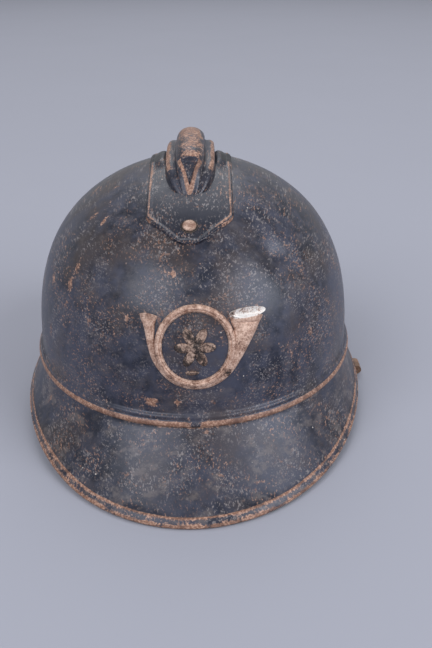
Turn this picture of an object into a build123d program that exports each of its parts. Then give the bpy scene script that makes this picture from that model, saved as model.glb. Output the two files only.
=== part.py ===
from build123d import *
from math import atan2, cos, degrees, hypot, pi, radians, sin, sqrt
import os

# A pressed-steel infantry helmet of four pieces, standing on its brim. The front is -Y, the wearer's left
# is +X, and z = 0 is the surface it stands on. Sizes are millimetres.

# Bowl: a dome on an oval plan, stepped outwards at its foot to hold the brims
steel = 0.7
bowl_half_width = 94.5
bowl_half_length = 111.5
bowl_base = 38.5
bowl_rise = 107.0
reach_pull_shares = (1, 1, 0.79, 0.333, 0)
height_pull_shares = (0, 0.61, 0.824, 1, 1)
joggle = 2.0
joggle_drop = 1.6
bead_height = 4.7
lip_bulge = 0.7
lip_height = 1.5
fit_gap = 0.1

# Brims: the visor in front and the neck guard behind, lapped and riveted at the sides
brim_half_width = 103.5
visor_reach = 153.0
guard_reach = 143.0
side_lift = 8.0
lift_power = 4
hem_width = 5.5
hem_rise = 0.65
slope_sag = 1.2
lap_gap = 0.15
visor_end_angle = 95.0
guard_end_angle = 95.4
tongue_start_angle = 86.0
tongue_foot_angle = 99.0
tongue_foot_share = 0.4
brim_spans = 16

# Comb: a hollow crest on a flange that follows the crown, with an air louvre on each side
comb_gap = 0.15
flange_half_width = 23.0
flange_corner = 62.0
flange_tip = 84.4
tip_round = 14.0
corner_round = 5.0
flange_edge_width = 1.8
flange_edge_rise = 0.5
crest_half_length = 49.5
crest_half_width = 8.2
crest_rise = 15.3
nose_power = 7
nose_fall_power = 1.8
flank_power = 4
step_half_width = 13.8
step_rise = 7.4
step_round = 2.2
round_share = 0.75
crest_root_depth = 3.0
louvre_rise = 3.0
louvre_half_length = 14.0
louvre_overhang = 0.8
vent_half_length = 26.0
vent_half_width = 5.5

# Rivets
comb_rivet_place = 69.3
comb_rivet_head = 4.6
comb_rivet_head_rise = 1.7
comb_rivet_shank = 1.6
rivet_tail = 2.6
rivet_tail_rise = 0.9
rivet_gap = 0.12
rivet_seat_gap = 0.15
rivet_tail_gap = 0.25
side_rivet_head = 2.3
side_rivet_head_rise = 1.0
side_rivet_shank = 1.1
side_rivet_tail = 1.9
side_rivet_along = 8.5

# Badge: a hunting horn curled round a disc
badge_x = 2.45
badge_z = 76.5
badge_sheet = 0.5
badge_rise = 2.6
horn_ring = 18.4
horn_tube = 2.2
horn_reach = 20.6
rosette_reach = 10.5
rosette_petal = 2.6
rosette_eye = 2.8
rosette_rise = 1.0
petal_root = 1.4
petals = 6
badge_steps = 3
mouth_far = 27.4
mouth_near = 18.6
mouth_up = 13.5
mouth_tilt = 1.5
bell_near = 17.0
bell_far = 34.0
bell_up = 14.6
bell_tilt = 2.6
bell_waist = 22.4
horn_side = 1.6
prong_width = 5.0
prong_sheet = 0.6
prong_leg = 7.0
prong_half_span = 15.0
prong_gap = 0.2

# Liner: felt band, leather crown of tongues, corrugated spacers, soldered tabs and a drawn lace
spacer_sheet = 0.5
spacer_depth = 4.0
spacer_height = 24.0
spacer_waves = 8
spacer_half_angle = 32.0
spacer_gap = 0.75
felt = 2.0
felt_height = 30.0
leather = 1.5
liner_gap = 0.2
liner_foot = 2.0
liner_rise = 83.0
tongues = 7
crown_opening = 24.0
gap_reach = 70.0
gap_half_width = 4.5
tab_width = 8.0
tab_sheet = 0.8
tab_plate_height = 13.0
tab_height = 17.0
tab_flap = 12.0
tab_gap = 0.25
tab_places = {"front_left": 45, "rear_left": 135, "rear_right": 225, "front_right": 315}
lace = 2.0
lace_ring = 31.0
lace_cross = 5.0
lace_lead = 1.7
lace_hole = 2.6
lace_clear = 0.5
lace_knot = 2.8
lace_tail = 15.0

# Strap fittings: a wire ring hung in a rolled bracket on each side, and what is left of the strap on one
ring_wire = 2.2
ring_width = 16.0
ring_depth = 9.1
ring_corner = 2.2
ring_y = 2.0
hinge_x = 97.6
hinge_z = 6.7
left_ring_droop = 15.0
right_ring_droop = 33.0
bracket_sheet = 0.8
bracket_width = 10.0
bracket_gap = 0.3
bracket_top_along = 4.0
bracket_bend_along = 12.5
eye_gap = 0.1
stub_leather = 1.65
stub_width = 10.8
stub_bore_gap = 0.25
stub_tail = 6.0

# Worked out from the sizes above
overrun = 400.0
oval_share = bowl_half_length / bowl_half_width
bead_bottom = bowl_base - bead_height
collar_outer = bowl_half_width + joggle - steel - fit_gap
collar_inner = collar_outer - steel
collar_top = bowl_base - joggle_drop - steel
bend_z = bead_bottom - fit_gap
hem_half = steel / 2 + hem_rise
lap_drop = steel + lap_gap
quarter_turn = 90.0
halvings = 40
probe = steel


def save(part, name):
    """Label a finished piece and write it."""
    part.label = name
    export_step(part, f"parts/{name}.step")


def ellipse_radius(half_x, half_y, angle):
    """Distance from an oval's centre to its edge, where angle 0 is the front and 90 the wearer's left."""
    return half_x * half_y / hypot(half_y * sin(radians(angle)), half_x * cos(radians(angle)))


def radial_plane(angle):
    """The upright plane through the centre line at an angle from the front: x is outwards and y is up."""
    outward = Vector(sin(radians(angle)), -cos(radians(angle)), 0)
    return Plane(origin=(0, 0, 0), x_dir=outward, z_dir=outward.cross(Vector(0, 0, 1)))


def profile_share(turn, pulls):
    """One coordinate of the dome's profile, as a share, at a turn from its foot (0) to its crown (1)."""
    back = 1 - turn
    weights = (back**4, 4 * turn * back**3, 6 * turn**2 * back**2, 4 * turn**3 * back, turn**4)
    return sum(weight * pull for weight, pull in zip(weights, pulls))


def profile_turn(reach_share):
    """The turn at which the profile stands a share of its half-width from the centre line."""
    low, high = 0, 1
    for _ in range(halvings):
        middle = (low + high) / 2
        if profile_share(middle, reach_pull_shares) > reach_share:
            low = middle
        else:
            high = middle
    return low


def dome_height(x, y, half_width, rise):
    """Height of a dome above its base at a place in plan."""
    share = hypot(x / half_width, y / (half_width * oval_share))
    return rise * profile_share(profile_turn(min(share, 1)), height_pull_shares)


def dome_curve(half_width, rise, base):
    """The half profile of a dome, from its foot to its crown."""
    return Bezier(
        *(
            (half_width * reach, base + rise * height)
            for reach, height in zip(reach_pull_shares, height_pull_shares)
        )
    )


def make_dome(half_width, rise, base, foot):
    """A solid dome with an upright wall from its foot to its base."""
    with BuildPart() as dome:
        with BuildSketch(Plane.XZ):
            with BuildLine():
                curve = dome_curve(half_width, rise, base)
                Polyline(curve @ 1, (0, foot), (half_width, foot), curve @ 0)
            make_face()
        revolve(axis=Axis.Z)
        scale(by=(1, oval_share, 1))
    return dome.part


def conform(tool, low, high):
    """The part of a tool that lies between two offsets from the bowl's outer surface."""
    outer = make_dome(bowl_half_width + high, bowl_rise + high, bowl_base, 0)
    inner = make_dome(bowl_half_width + low, bowl_rise + low, bowl_base, -overrun)
    return (tool & outer) - inner


def crown_height(x, y, out):
    """Height above the table of the surface that lies out from the bowl's own, above a place in plan."""
    return bowl_base + dome_height(x, y, bowl_half_width + out, bowl_rise + out)


def crown_normal(x, y, out):
    """The direction square to that surface."""
    height = crown_height(x, y, out)
    across = (crown_height(x + probe, y, out) - height) / probe
    along = (crown_height(x, y + probe, out) - height) / probe
    return Vector(-across, -along, 1).normalized()


def comb_rivet_site(y):
    """Where a comb rivet's head stands, its direction, and the depth of the sheets under it."""
    seat = comb_gap + steel
    normal = crown_normal(0, y, seat)
    depth = (crown_height(0, y, seat) - crown_height(0, y, -steel)) * normal.Z
    place = Vector(0, y, crown_height(0, y, seat)) + normal * rivet_seat_gap
    return place, normal, depth + rivet_seat_gap + rivet_tail_gap


def rivet(place, axis, grip, sizes):
    """A domed rivet: its head stands on place, its shank runs back through grip, and its tail is flat."""
    head, head_rise, shank, tail = sizes
    with BuildPart() as made:
        with BuildSketch(Plane.XZ):
            with BuildLine():
                cap = ThreePointArc((0, head_rise), (head * sqrt(3) / 2, head_rise / 2), (head, 0))
                Polyline(
                    cap @ 1,
                    (shank, 0),
                    (shank, -grip),
                    (tail, -grip),
                    (tail, -grip - rivet_tail_rise),
                    (0, -grip - rivet_tail_rise),
                    cap @ 0,
                )
            make_face()
        revolve(axis=Axis.Z)
    return Plane(origin=place, z_dir=axis).location * made.part


def rivet_hole(place, axis, shank, reach):
    """A cylinder that clears a rivet's shank."""
    return Plane(origin=place, z_dir=axis).location * Cylinder(shank + rivet_gap, 2 * reach)


# Bowl
comb_rivet_sites = [comb_rivet_site(side * comb_rivet_place) for side in (-1, 1)]
comb_rivet_sizes = (comb_rivet_head, comb_rivet_head_rise, comb_rivet_shank, rivet_tail)


def prong_sites():
    """The x of each badge prong."""
    return [badge_x + side * prong_half_span for side in (-1, 1)]


def front_box(x, z, width, height):
    """An upright bar that runs in from the front at a place on the front of the bowl."""
    return Pos(x, -overrun / 2, z) * Box(width, overrun, height)


prong_slot = prong_sheet + 2 * prong_gap
bowl_holes = [rivet_hole(place, axis, comb_rivet_shank, crest_rise) for place, axis, grip in comb_rivet_sites]
bowl_holes += [front_box(x, badge_z, prong_slot, prong_width + 2 * prong_gap) for x in prong_sites()]

with BuildPart() as bowl:
    with BuildSketch(Plane.XZ):
        with BuildLine():
            outer = dome_curve(bowl_half_width, bowl_rise, bowl_base)
            inner = dome_curve(bowl_half_width - steel, bowl_rise - steel, bowl_base)
            Line(outer @ 1, inner @ 1)
            skirt = bowl_half_width + joggle
            Polyline(outer @ 0, (skirt, bowl_base - joggle_drop), (skirt, bead_bottom + lip_height))
            ThreePointArc(
                (skirt, bead_bottom + lip_height),
                (skirt + lip_bulge, bead_bottom + lip_height / 2),
                (skirt, bead_bottom),
            )
            Polyline(
                (skirt, bead_bottom),
                (skirt - steel, bead_bottom),
                (skirt - steel, bowl_base - joggle_drop - steel / 2),
                (bowl_half_width - steel, bowl_base - steel / 2),
                inner @ 0,
            )
        make_face()
    revolve(axis=Axis.Z)
    scale(by=(1, oval_share, 1))
    with BuildSketch(Plane.XY):
        SlotOverall(2 * vent_half_length, 2 * vent_half_width, rotation=quarter_turn)
    extrude(amount=overrun, mode=Mode.SUBTRACT)
    for hole in bowl_holes:
        add(hole, mode=Mode.SUBTRACT)


# Brims
def rim_point(angle, reach):
    """The outermost point of a brim's hem at an angle: its distance from the centre line, and its height."""
    rho = ellipse_radius(brim_half_width, reach, angle)
    side_share = abs(rho * sin(radians(angle)) / brim_half_width)
    return rho, hem_half + side_lift * side_share**lift_power


def slope_frame(angle, reach):
    """The bend under the bead, the ways down and out of the slope, and the rim point, in a radial plane."""
    bend = Vector(ellipse_radius(collar_outer, collar_outer * oval_share, angle), bend_z)
    rim = Vector(*rim_point(angle, reach))
    down = (rim - bend).normalized()
    return bend, down, Vector(-down.Y, down.X), rim


def brim_section(angle, reach):
    """The outline of a brim with its collar and hem, in a radial plane."""
    bend, down, out, rim = slope_frame(angle, reach)
    inside = ellipse_radius(collar_inner, collar_inner * oval_share, angle)
    fold = rim - down * hem_width
    under_bend = bend - out * steel
    under_bend = under_bend - down * ((under_bend.X - inside) / down.X)
    upper_end = fold + out * (steel / 2)
    lower_end = fold - out * (steel / 2)
    tip = rim - down * hem_half
    with BuildSketch(radial_plane(angle)) as section:
        with BuildLine():
            Polyline(under_bend, (inside, collar_top), (bend.X, collar_top), bend)
            ThreePointArc(bend, (bend + upper_end) / 2 - out * slope_sag, upper_end)
            Polyline(upper_end, fold + out * hem_half, tip + out * hem_half)
            ThreePointArc(tip + out * hem_half, rim, tip - out * hem_half)
            Polyline(tip - out * hem_half, fold - out * hem_half, lower_end)
            ThreePointArc(lower_end, (under_bend + lower_end) / 2 - out * slope_sag, under_bend)
        make_face()
    return section.sketch


def strip_section(angle, drop):
    """The outline of the neck guard's lap, which lies under the visor by a drop."""
    bend, down, out, rim = slope_frame(angle, guard_reach)
    start = bend + down * (hem_half + steel) - out * drop
    end = rim - down * (hem_width + steel) + out * (steel / 2 - drop)
    with BuildSketch(radial_plane(angle)) as section:
        with BuildLine():
            ThreePointArc(start, (start + end) / 2 - out * slope_sag, end)
            Line(end, end - out * steel)
            middle = (start + end) / 2 - out * (slope_sag + steel)
            ThreePointArc(end - out * steel, middle, start - out * steel)
            Line(start - out * steel, start)
        make_face()
    return section.sketch


def even_angles(start, end, spans):
    """Angles from start to end in equal spans."""
    return [start + (end - start) * step / spans for step in range(spans + 1)]


def side_plane(side):
    """The upright plane through a strap ring's middle; its x is outwards on that side and its y is up."""
    return Plane(origin=(0, ring_y, 0), x_dir=(side, 0, 0), z_dir=(0, -side, 0))


def side_point(side, flat):
    """A place in a side's upright plane, in the model's own frame."""
    return Vector(side * flat.X, ring_y, flat.Y)


def side_bow(along):
    """How far the brim's side dips below its straight slope."""
    return slope_sag * (1 - (2 * along / (side_rim - side_bend).length - 1) ** 2)


side_angle = quarter_turn + degrees(atan2(ring_y, brim_half_width))
side_bend, side_down, side_out, side_rim = slope_frame(side_angle, visor_reach)
side_rivet_seat = (
    side_bend + side_down * side_rivet_along - side_out * (side_bow(side_rivet_along) - rivet_seat_gap)
)
side_stack = steel + lap_drop + lap_gap
side_rivet_sizes = (side_rivet_head, side_rivet_head_rise, side_rivet_shank, side_rivet_tail)
side_rivet_sites = [
    (side_point(side, side_rivet_seat), Vector(side * side_out.X, 0, side_out.Y)) for side in (-1, 1)
]
side_grip = side_stack + bracket_gap + bracket_sheet + rivet_seat_gap + fit_gap
side_holes = [rivet_hole(place, axis, side_rivet_shank, hem_width) for place, axis in side_rivet_sites]

with BuildPart() as visor:
    for angle in even_angles(-visor_end_angle, visor_end_angle, brim_spans):
        add(brim_section(angle, visor_reach if abs(angle) <= quarter_turn else guard_reach))
    loft()
    for hole in side_holes:
        add(hole, mode=Mode.SUBTRACT)

with BuildPart() as neck_guard:
    for angle in even_angles(guard_end_angle, 2 * 180 - guard_end_angle, brim_spans):
        add(brim_section(angle, guard_reach))
    loft()

lap_parts = []
for mirrored in (False, True):
    for low, high, drops in (
        (tongue_start_angle, guard_end_angle, (1, 1)),
        (guard_end_angle, tongue_foot_angle, (1, tongue_foot_share)),
    ):
        with BuildPart() as lap:
            for angle, share in zip(even_angles(low, high, 1), drops):
                add(strip_section(-angle if mirrored else angle, lap_drop * share))
            loft(ruled=True)
        lap_parts.append(lap.part)

with BuildPart() as guard_with_laps:
    add(neck_guard.part)
    for lap_part in lap_parts:
        add(lap_part)
    for hole in side_holes:
        add(hole, mode=Mode.SUBTRACT)


# Comb
def crest_section(y, thinner):
    """The crest's cross-section at a place along it, each surface set in by thinner."""
    share = abs(y) / crest_half_length
    fullness = (1 - share**nose_power) ** nose_fall_power
    narrowness = sqrt(1 - share**flank_power)
    dome = bowl_base + dome_height(0, y, bowl_half_width, bowl_rise)
    top_half = max(steel * 2, crest_half_width * narrowness) - thinner
    foot_half = max(steel * 4, step_half_width * narrowness) - thinner
    top = dome + crest_rise * fullness - thinner
    shelf = dome + step_rise * fullness - thinner
    root = dome - crest_root_depth
    shoulder = min(step_round, (foot_half - top_half) * round_share)
    cap = min(top_half, (top - shelf) * round_share)
    corner = 1 - sqrt(1 / 2)
    with BuildSketch(Plane.XZ.offset(-y)) as section:
        with BuildLine():
            Line((-foot_half, root), (-foot_half, shelf - shoulder))
            ThreePointArc(
                (-foot_half, shelf - shoulder),
                (-foot_half + shoulder * corner, shelf - shoulder * corner),
                (-foot_half + shoulder, shelf),
            )
            Polyline((-foot_half + shoulder, shelf), (-top_half, shelf), (-top_half, top - cap))
            ThreePointArc((-top_half, top - cap), (0, top), (top_half, top - cap))
            Polyline((top_half, top - cap), (top_half, shelf), (foot_half - shoulder, shelf))
            ThreePointArc(
                (foot_half - shoulder, shelf),
                (foot_half - shoulder * corner, shelf - shoulder * corner),
                (foot_half, shelf - shoulder),
            )
            Polyline((foot_half, shelf - shoulder), (foot_half, root), (-foot_half, root))
        make_face()
    return section.sketch


def crest_body(thinner):
    """The crest as one solid, lofted from its front foot to its rear foot."""
    shares = (0.985, 0.95, 0.88, 0.78, 0.6, 0.3)
    places = [-share for share in shares] + [0] + [share for share in reversed(shares)]
    with BuildPart() as body:
        for place in places:
            add(crest_section(place * (crest_half_length - thinner), thinner))
        loft()
    return body.part


def flange_outline(inset):
    """The comb's outline in plan, set in all round."""
    half = flange_half_width
    with BuildSketch() as outline:
        with BuildLine():
            Polyline(
                (0, -flange_tip), (half, -flange_corner), (half, flange_corner),
                (0, flange_tip), (-half, flange_corner), (-half, -flange_corner),
                close=True,
            )
        make_face()
        tips = outline.vertices().filter_by_position(Axis.X, -steel, steel)
        fillet(tips, tip_round)
        fillet(outline.vertices().group_by(Axis.X)[0] + outline.vertices().group_by(Axis.X)[-1], corner_round)
        if inset:
            offset(amount=-inset)
    return outline.sketch


def raised_outline(outline):
    """A plan outline run straight up through the crown."""
    with BuildPart() as block:
        add(outline)
        extrude(amount=overrun, dir=(0, 0, 1))
    return block.part


def plan_rectangle(half_x, half_y):
    """A rectangle in plan, about the centre line."""
    with BuildSketch() as outline:
        Rectangle(2 * half_x, 2 * half_y)
    return outline.sketch


crown_block = make_dome(bowl_half_width + comb_gap, bowl_rise + comb_gap, bowl_base, 0)
crest_outer = crest_body(0)
crest_inner = crest_body(steel)
louvre_reach = flange_half_width + louvre_overhang
louvre_top = comb_gap + louvre_rise
louvre_air = plan_rectangle(4 * louvre_reach, louvre_half_length - steel)
flange = conform(raised_outline(flange_outline(0)), comb_gap, comb_gap + steel)
flange_rim = raised_outline(flange_outline(0)) - raised_outline(flange_outline(flange_edge_width))
flange_edge = conform(flange_rim, comb_gap + steel / 2, comb_gap + steel + flange_edge_rise)
louvre_shell = raised_outline(plan_rectangle(louvre_reach, louvre_half_length))
louvres = conform(louvre_shell, comb_gap, louvre_top + steel)
air_path = conform(raised_outline(louvre_air), -steel, louvre_top)
comb_holes = [rivet_hole(place, axis, comb_rivet_shank, crest_rise) for place, axis, grip in comb_rivet_sites]

with BuildPart() as comb:
    add(flange)
    add(flange_edge)
    add(louvres)
    add(crest_outer)
    add(crest_inner, mode=Mode.SUBTRACT)
    add(crown_block, mode=Mode.SUBTRACT)
    add(air_path, mode=Mode.SUBTRACT)
    for hole in comb_holes:
        add(hole, mode=Mode.SUBTRACT)

with BuildPart() as comb_rivets:
    for place, axis, grip in comb_rivet_sites:
        add(rivet(place, axis, grip, comb_rivet_sizes))

with BuildPart() as side_rivets:
    for place, axis in side_rivet_sites:
        add(rivet(place, axis, side_grip, side_rivet_sizes))


# Badge
badge_back = comb_gap
badge_front = badge_back + badge_sheet


def badge_place(across, up):
    """A place on the badge, measured from the middle of its disc."""
    return (badge_x + across, badge_z + up)


def horn_curves(inset):
    """The horn in front view: its outer edge, and the bell and mouthpiece lips."""
    mouth_out = badge_place(-mouth_far + inset, mouth_up - inset)
    mouth_in = badge_place(-mouth_near - inset, mouth_up + mouth_tilt - inset)
    bell_in = badge_place(bell_near + inset, bell_up - inset)
    bell_out = badge_place(bell_far - inset, bell_up - bell_tilt - inset)
    left = badge_place(-horn_reach - horn_side + inset, 0)
    low_left = badge_place(-horn_reach * sqrt(1 / 2) + inset, -horn_reach * sqrt(1 / 2) - horn_side + inset)
    bottom = badge_place(0, -horn_reach - horn_side / 2 + inset)
    right = badge_place(bell_waist - inset, -horn_reach * sqrt(1 / 2) + inset)
    return mouth_out, mouth_in, bell_in, bell_out, left, low_left, bottom, right


def horn_face(inset):
    """The horn and its bell in front view, cut out round the disc."""
    mouth_out, mouth_in, bell_in, bell_out, left, low_left, bottom, right = horn_curves(inset)
    with BuildSketch(Plane.XZ) as face:
        with BuildLine():
            Line(mouth_in, mouth_out)
            Spline(mouth_out, left, low_left, bottom, right, bell_out)
            Line(bell_out, bell_in)
            ring = horn_ring - horn_tube + inset
            Spline(
                bell_in,
                badge_place(ring, 0),
                badge_place(ring * sqrt(1 / 2), -ring * sqrt(1 / 2)),
                badge_place(0, -ring),
                badge_place(-ring * sqrt(1 / 2), -ring * sqrt(1 / 2)),
                badge_place(-ring - horn_side, 0),
                mouth_in,
            )
        make_face()
    return face.sketch


def ring_face(inset):
    """The curled tube in front view."""
    with BuildSketch(Plane.XZ) as face:
        with Locations(badge_place(0, 0)):
            Circle(horn_ring + horn_tube - inset)
            Circle(horn_ring - horn_tube + inset, mode=Mode.SUBTRACT)
    return face.sketch


def rosette_face():
    """The ornament in the disc: petals round an eye."""
    with BuildSketch(Plane.XZ) as face:
        with Locations(badge_place(0, 0)):
            Circle(rosette_eye)
            with PolarLocations((rosette_reach + petal_root) / 2, petals):
                Ellipse((rosette_reach - petal_root) / 2, rosette_petal)
    return face.sketch


def badge_layer(face, low, high):
    """A badge face run in from the front and kept between two offsets from the bowl."""
    with BuildPart() as block:
        add(face)
        extrude(amount=overrun, dir=(0, -1, 0))
    return conform(block.part, low, high)


def disc_face():
    """The badge's disc in front view."""
    with BuildSketch(Plane.XZ) as face:
        with Locations(badge_place(0, 0)):
            Circle(horn_ring)
    return face.sketch


badge_bite = badge_back + badge_sheet / 2
badge_layers = [
    badge_layer(horn_face(0) + ring_face(0) + disc_face(), badge_back, badge_front),
    badge_layer(rosette_face(), badge_bite, badge_back + rosette_rise),
]
for step in range(1, badge_steps + 1):
    inset = horn_tube * (step - 1 / 2) / (badge_steps + 1)
    low = max(badge_bite, badge_back + badge_rise * (step - 1) / badge_steps - badge_sheet / 2)
    high = badge_back + badge_rise * step / badge_steps
    badge_layers.append(badge_layer(horn_face(inset) + ring_face(inset), low, high))

with BuildPart() as badge:
    for layer in badge_layers:
        add(layer)

prong_in = -steel - fit_gap - prong_sheet
prong_layers = []
for x, way in zip(prong_sites(), (-1, 1)):
    through = front_box(x, badge_z, prong_sheet, prong_width)
    leg = front_box(x + way * (prong_leg - prong_sheet) / 2, badge_z, prong_leg, prong_width)
    prong_layers.append(conform(through, prong_in, badge_back))
    prong_layers.append(conform(leg, prong_in, -steel - fit_gap))

with BuildPart() as badge_prongs:
    for layer in prong_layers:
        add(layer)


# Liner
leather_out = -(steel + spacer_gap + spacer_sheet * 2 + spacer_depth + felt + 2 * liner_gap)
felt_in = leather_out + liner_gap
spacer_in = felt_in + felt + liner_gap
liner_base = bowl_base + liner_foot


def turn_at_height(height_share):
    """The turn at which the dome's profile reaches a share of its rise."""
    low, high = 0, 1
    for _ in range(halvings):
        middle = (low + high) / 2
        if profile_share(middle, height_pull_shares) < height_share:
            low = middle
        else:
            high = middle
    return low


def liner_dome(out, foot):
    """A dome that follows the liner, at an offset from the bowl's outer surface in plan."""
    return make_dome(bowl_half_width + out, liner_rise + out - leather_out, bowl_base, foot)


def liner_wall(out, height):
    """Half-width of a liner dome at a height above the table."""
    share = (height - bowl_base) / (liner_rise + out - leather_out)
    return (bowl_half_width + out) * profile_share(turn_at_height(share), reach_pull_shares)


def wall_plane(angle):
    """The upright plane square to the oval at a place round it; its origin is on the centre line's side."""
    turn = radians(angle)
    normal = Vector(oval_share * sin(turn), -cos(turn), 0).normalized()
    return Plane(origin=(0, 0, 0), x_dir=normal, z_dir=normal.cross(Vector(0, 0, 1)))


def oval_place(angle, half_width, height):
    """A place on an oval of the bowl's proportions."""
    turn = radians(angle)
    return Vector(half_width * sin(turn), -half_width * oval_share * cos(turn), height)


def standing_plane(angle, half_width):
    """The wall plane moved out to stand on an oval."""
    flat = wall_plane(angle)
    return Plane(origin=oval_place(angle, half_width, 0), x_dir=flat.x_dir, z_dir=flat.z_dir)


def between_height(solid, low, high):
    """The slice of a solid between two heights."""
    slab = Pos(0, 0, (low + high) / 2) * Box(overrun, overrun, high - low)
    return solid & slab


tab_angle = tab_places["front_left"]
tab_normal_share = oval_share / hypot(oval_share * sin(radians(tab_angle)), cos(radians(tab_angle)))
tab_leg_z = liner_base + tab_height
tab_outer = bowl_half_width - steel - fit_gap * 2
tab_wall_fall = bowl_half_width - bowl_half_width * profile_share(
    turn_at_height((tab_leg_z - bowl_base) / bowl_rise), reach_pull_shares
)
tab_reach = (tab_outer - liner_wall(leather_out - leather, tab_leg_z)) * tab_normal_share + tab_gap


def tab_outline():
    """The tab's bent strip, seen along the wall: its plate, its leg through the liner and its flap."""
    out = -tab_wall_fall
    inner = -tab_reach - liner_gap
    with BuildSketch() as section:
        with BuildLine():
            Polyline(
                (out, tab_leg_z + tab_sheet),
                (out, tab_leg_z - tab_plate_height),
                (out - tab_sheet, tab_leg_z - tab_plate_height),
                (out - tab_sheet, tab_leg_z),
                (inner, tab_leg_z),
                (inner, tab_leg_z - tab_flap),
                (inner - tab_sheet, tab_leg_z - tab_flap),
                (inner - tab_sheet, tab_leg_z + tab_sheet),
                close=True,
            )
        make_face()
    return section.sketch


def liner_tab(angle):
    """A soldered tab at a place round the bowl."""
    with BuildPart() as tab:
        add(tab_outline())
        extrude(amount=tab_width / 2, both=True)
    return standing_plane(angle, tab_outer).location * tab.part


def tab_slot(angle):
    """The slot a tab's leg needs through the liner."""
    box = Pos(-tab_reach, tab_leg_z + tab_sheet / 2, 0) * Box(
        2 * tab_reach, tab_sheet + 2 * tab_gap, tab_width + 2 * tab_gap
    )
    return standing_plane(angle, tab_outer).location * box


tab_slots = [tab_slot(angle) for angle in tab_places.values()]


def spacer_strip(middle):
    """A corrugated strip that stands between the bowl and the felt, centred on an angle round the oval."""
    inner = bowl_half_width + spacer_in + spacer_sheet
    outer = inner + spacer_depth - spacer_sheet
    step = 2 * spacer_half_angle / (4 * spacer_waves)
    points = []
    for index in range(4 * spacer_waves + 1):
        half_width = outer if index % 4 in (1, 2) else inner
        place = oval_place(middle - spacer_half_angle + index * step, half_width, 0)
        points.append((place.X, place.Y))
    with BuildPart() as strip:
        with BuildSketch(Plane.XY.offset(liner_base)):
            with BuildLine():
                Polyline(*points)
            trace(line_width=spacer_sheet)
        extrude(amount=spacer_height)
    return strip.part


spacers = {
    "spacer_front": spacer_strip(0),
    "spacer_left": spacer_strip(90),
    "spacer_rear": spacer_strip(180),
    "spacer_right": spacer_strip(270),
}

felt_slice = between_height(liner_dome(felt_in + felt, 0), liner_base, liner_base + felt_height)

with BuildPart() as felt_band:
    add(felt_slice)
    add(liner_dome(felt_in, -overrun), mode=Mode.SUBTRACT)
    for slot in tab_slots:
        add(slot, mode=Mode.SUBTRACT)


# Leather crown and its lace, laid out on a round plan and stretched to the oval
lace_step = 2 * pi * lace_ring / tongues


def plan_place(turn, radius, aside):
    """A plan place on the oval, at a turn and radius of the round layout and a little aside."""
    across = radius * sin(radians(turn)) + aside * cos(radians(turn))
    along = radius * cos(radians(turn)) - aside * sin(radians(turn))
    return (across, -along * oval_share)


def lace_spots():
    """Where the lace passes through each tongue."""
    lean = degrees(lace_cross / lace_ring)
    turns = [360 / tongues * index + lean * side for index in range(tongues) for side in (-1, 1)]
    return [plan_place(turn, lace_ring, 0) for turn in turns]


with BuildSketch() as crown_cuts:
    Ellipse(crown_opening, crown_opening * oval_share)
    for index in range(tongues):
        turn = 360 / tongues * (index + 1 / 2)
        with BuildLine():
            Polyline(
                plan_place(turn, gap_reach, 0),
                plan_place(turn, crown_opening / 2, gap_half_width),
                plan_place(turn, crown_opening / 2, -gap_half_width),
                close=True,
            )
        make_face()
    with Locations(*lace_spots()):
        Circle(lace_hole)

leather_slice = between_height(liner_dome(leather_out, 0), liner_base, overrun)

with BuildPart() as liner_crown:
    add(leather_slice)
    add(liner_dome(leather_out - leather, -overrun), mode=Mode.SUBTRACT)
    add(raised_outline(crown_cuts.sketch), mode=Mode.SUBTRACT)
    for slot in tab_slots:
        add(slot, mode=Mode.SUBTRACT)


def lace_height(radius):
    """Height of the leather's middle surface on the round plan."""
    middle = leather / 2
    half_width = bowl_half_width + leather_out - middle
    share = profile_share(profile_turn(radius / half_width), height_pull_shares)
    return bowl_base + (liner_rise - middle) * share


def lace_path():
    """The lace's centre line round from its knot: over each tongue through its holes and under each gap."""
    level = leather / 2 + lace / 2 + lace_clear
    bends = ((-lace_cross - lace_lead, -level), (-lace_cross, 0), (-lace_cross + lace_lead, level))
    ahead = tuple((-along, lift) for along, lift in reversed(bends))
    steps = ((-lace_step / 2, -level),) + bends + ((0, level),) + ahead
    points = []
    for index in range(tongues):
        for along, lift in steps:
            turn = (along + index * lace_step) / lace_ring
            height = lace_height(lace_ring) + lift
            points.append(Vector(lace_ring * sin(turn), -lace_ring * oval_share * cos(turn), height))
    return points


knot_turn = radians(180 / tongues)
knot_place = Vector(
    -lace_ring * sin(knot_turn),
    -lace_ring * oval_share * cos(knot_turn),
    lace_height(lace_ring) - leather / 2 - lace / 2 - lace_clear,
)


def lace_tail_path(way):
    """One loose end of the lace, from the knot towards the crown opening."""
    swing = lace_tail / 3 * way
    return (
        knot_place + Vector(swing / 3, lace / 2, -lace / 2),
        knot_place + Vector(swing, lace_tail / 3, -lace),
        knot_place + Vector(swing * 2, lace_tail, -2 * lace),
    )


def cord_along(path):
    """A round cord along a path."""
    with BuildPart() as cord:
        with BuildSketch(Plane(origin=path @ 0, z_dir=path % 0)):
            Circle(lace / 2)
        sweep(path=path)
    return cord.part


def lace_tail_line(way):
    """The centre line of one loose end."""
    with BuildLine() as line:
        Spline(*lace_tail_path(way))
    return line.edge()


with BuildLine() as lace_line:
    Spline(*lace_path(), lace_path()[0])

knot_share = (lace_knot + fit_gap) / lace_step
lace_stops = [index / tongues for index in range(tongues + 1)]
lace_stops[0] += knot_share / tongues
lace_stops[-1] -= knot_share / tongues
lace_runs = [cord_along(lace_line.edge().trim(*ends)) for ends in zip(lace_stops, lace_stops[1:])]
lace_tails = [cord_along(lace_tail_line(way)) for way in (-1, 1)]
knot_ball = Pos(*knot_place) * Sphere(lace_knot)

with BuildPart() as lace_knot_and_tails:
    add(knot_ball)
    for tail in lace_tails:
        add(tail)

crown_lace = Compound(lace_runs + [lace_knot_and_tails.part])


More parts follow.
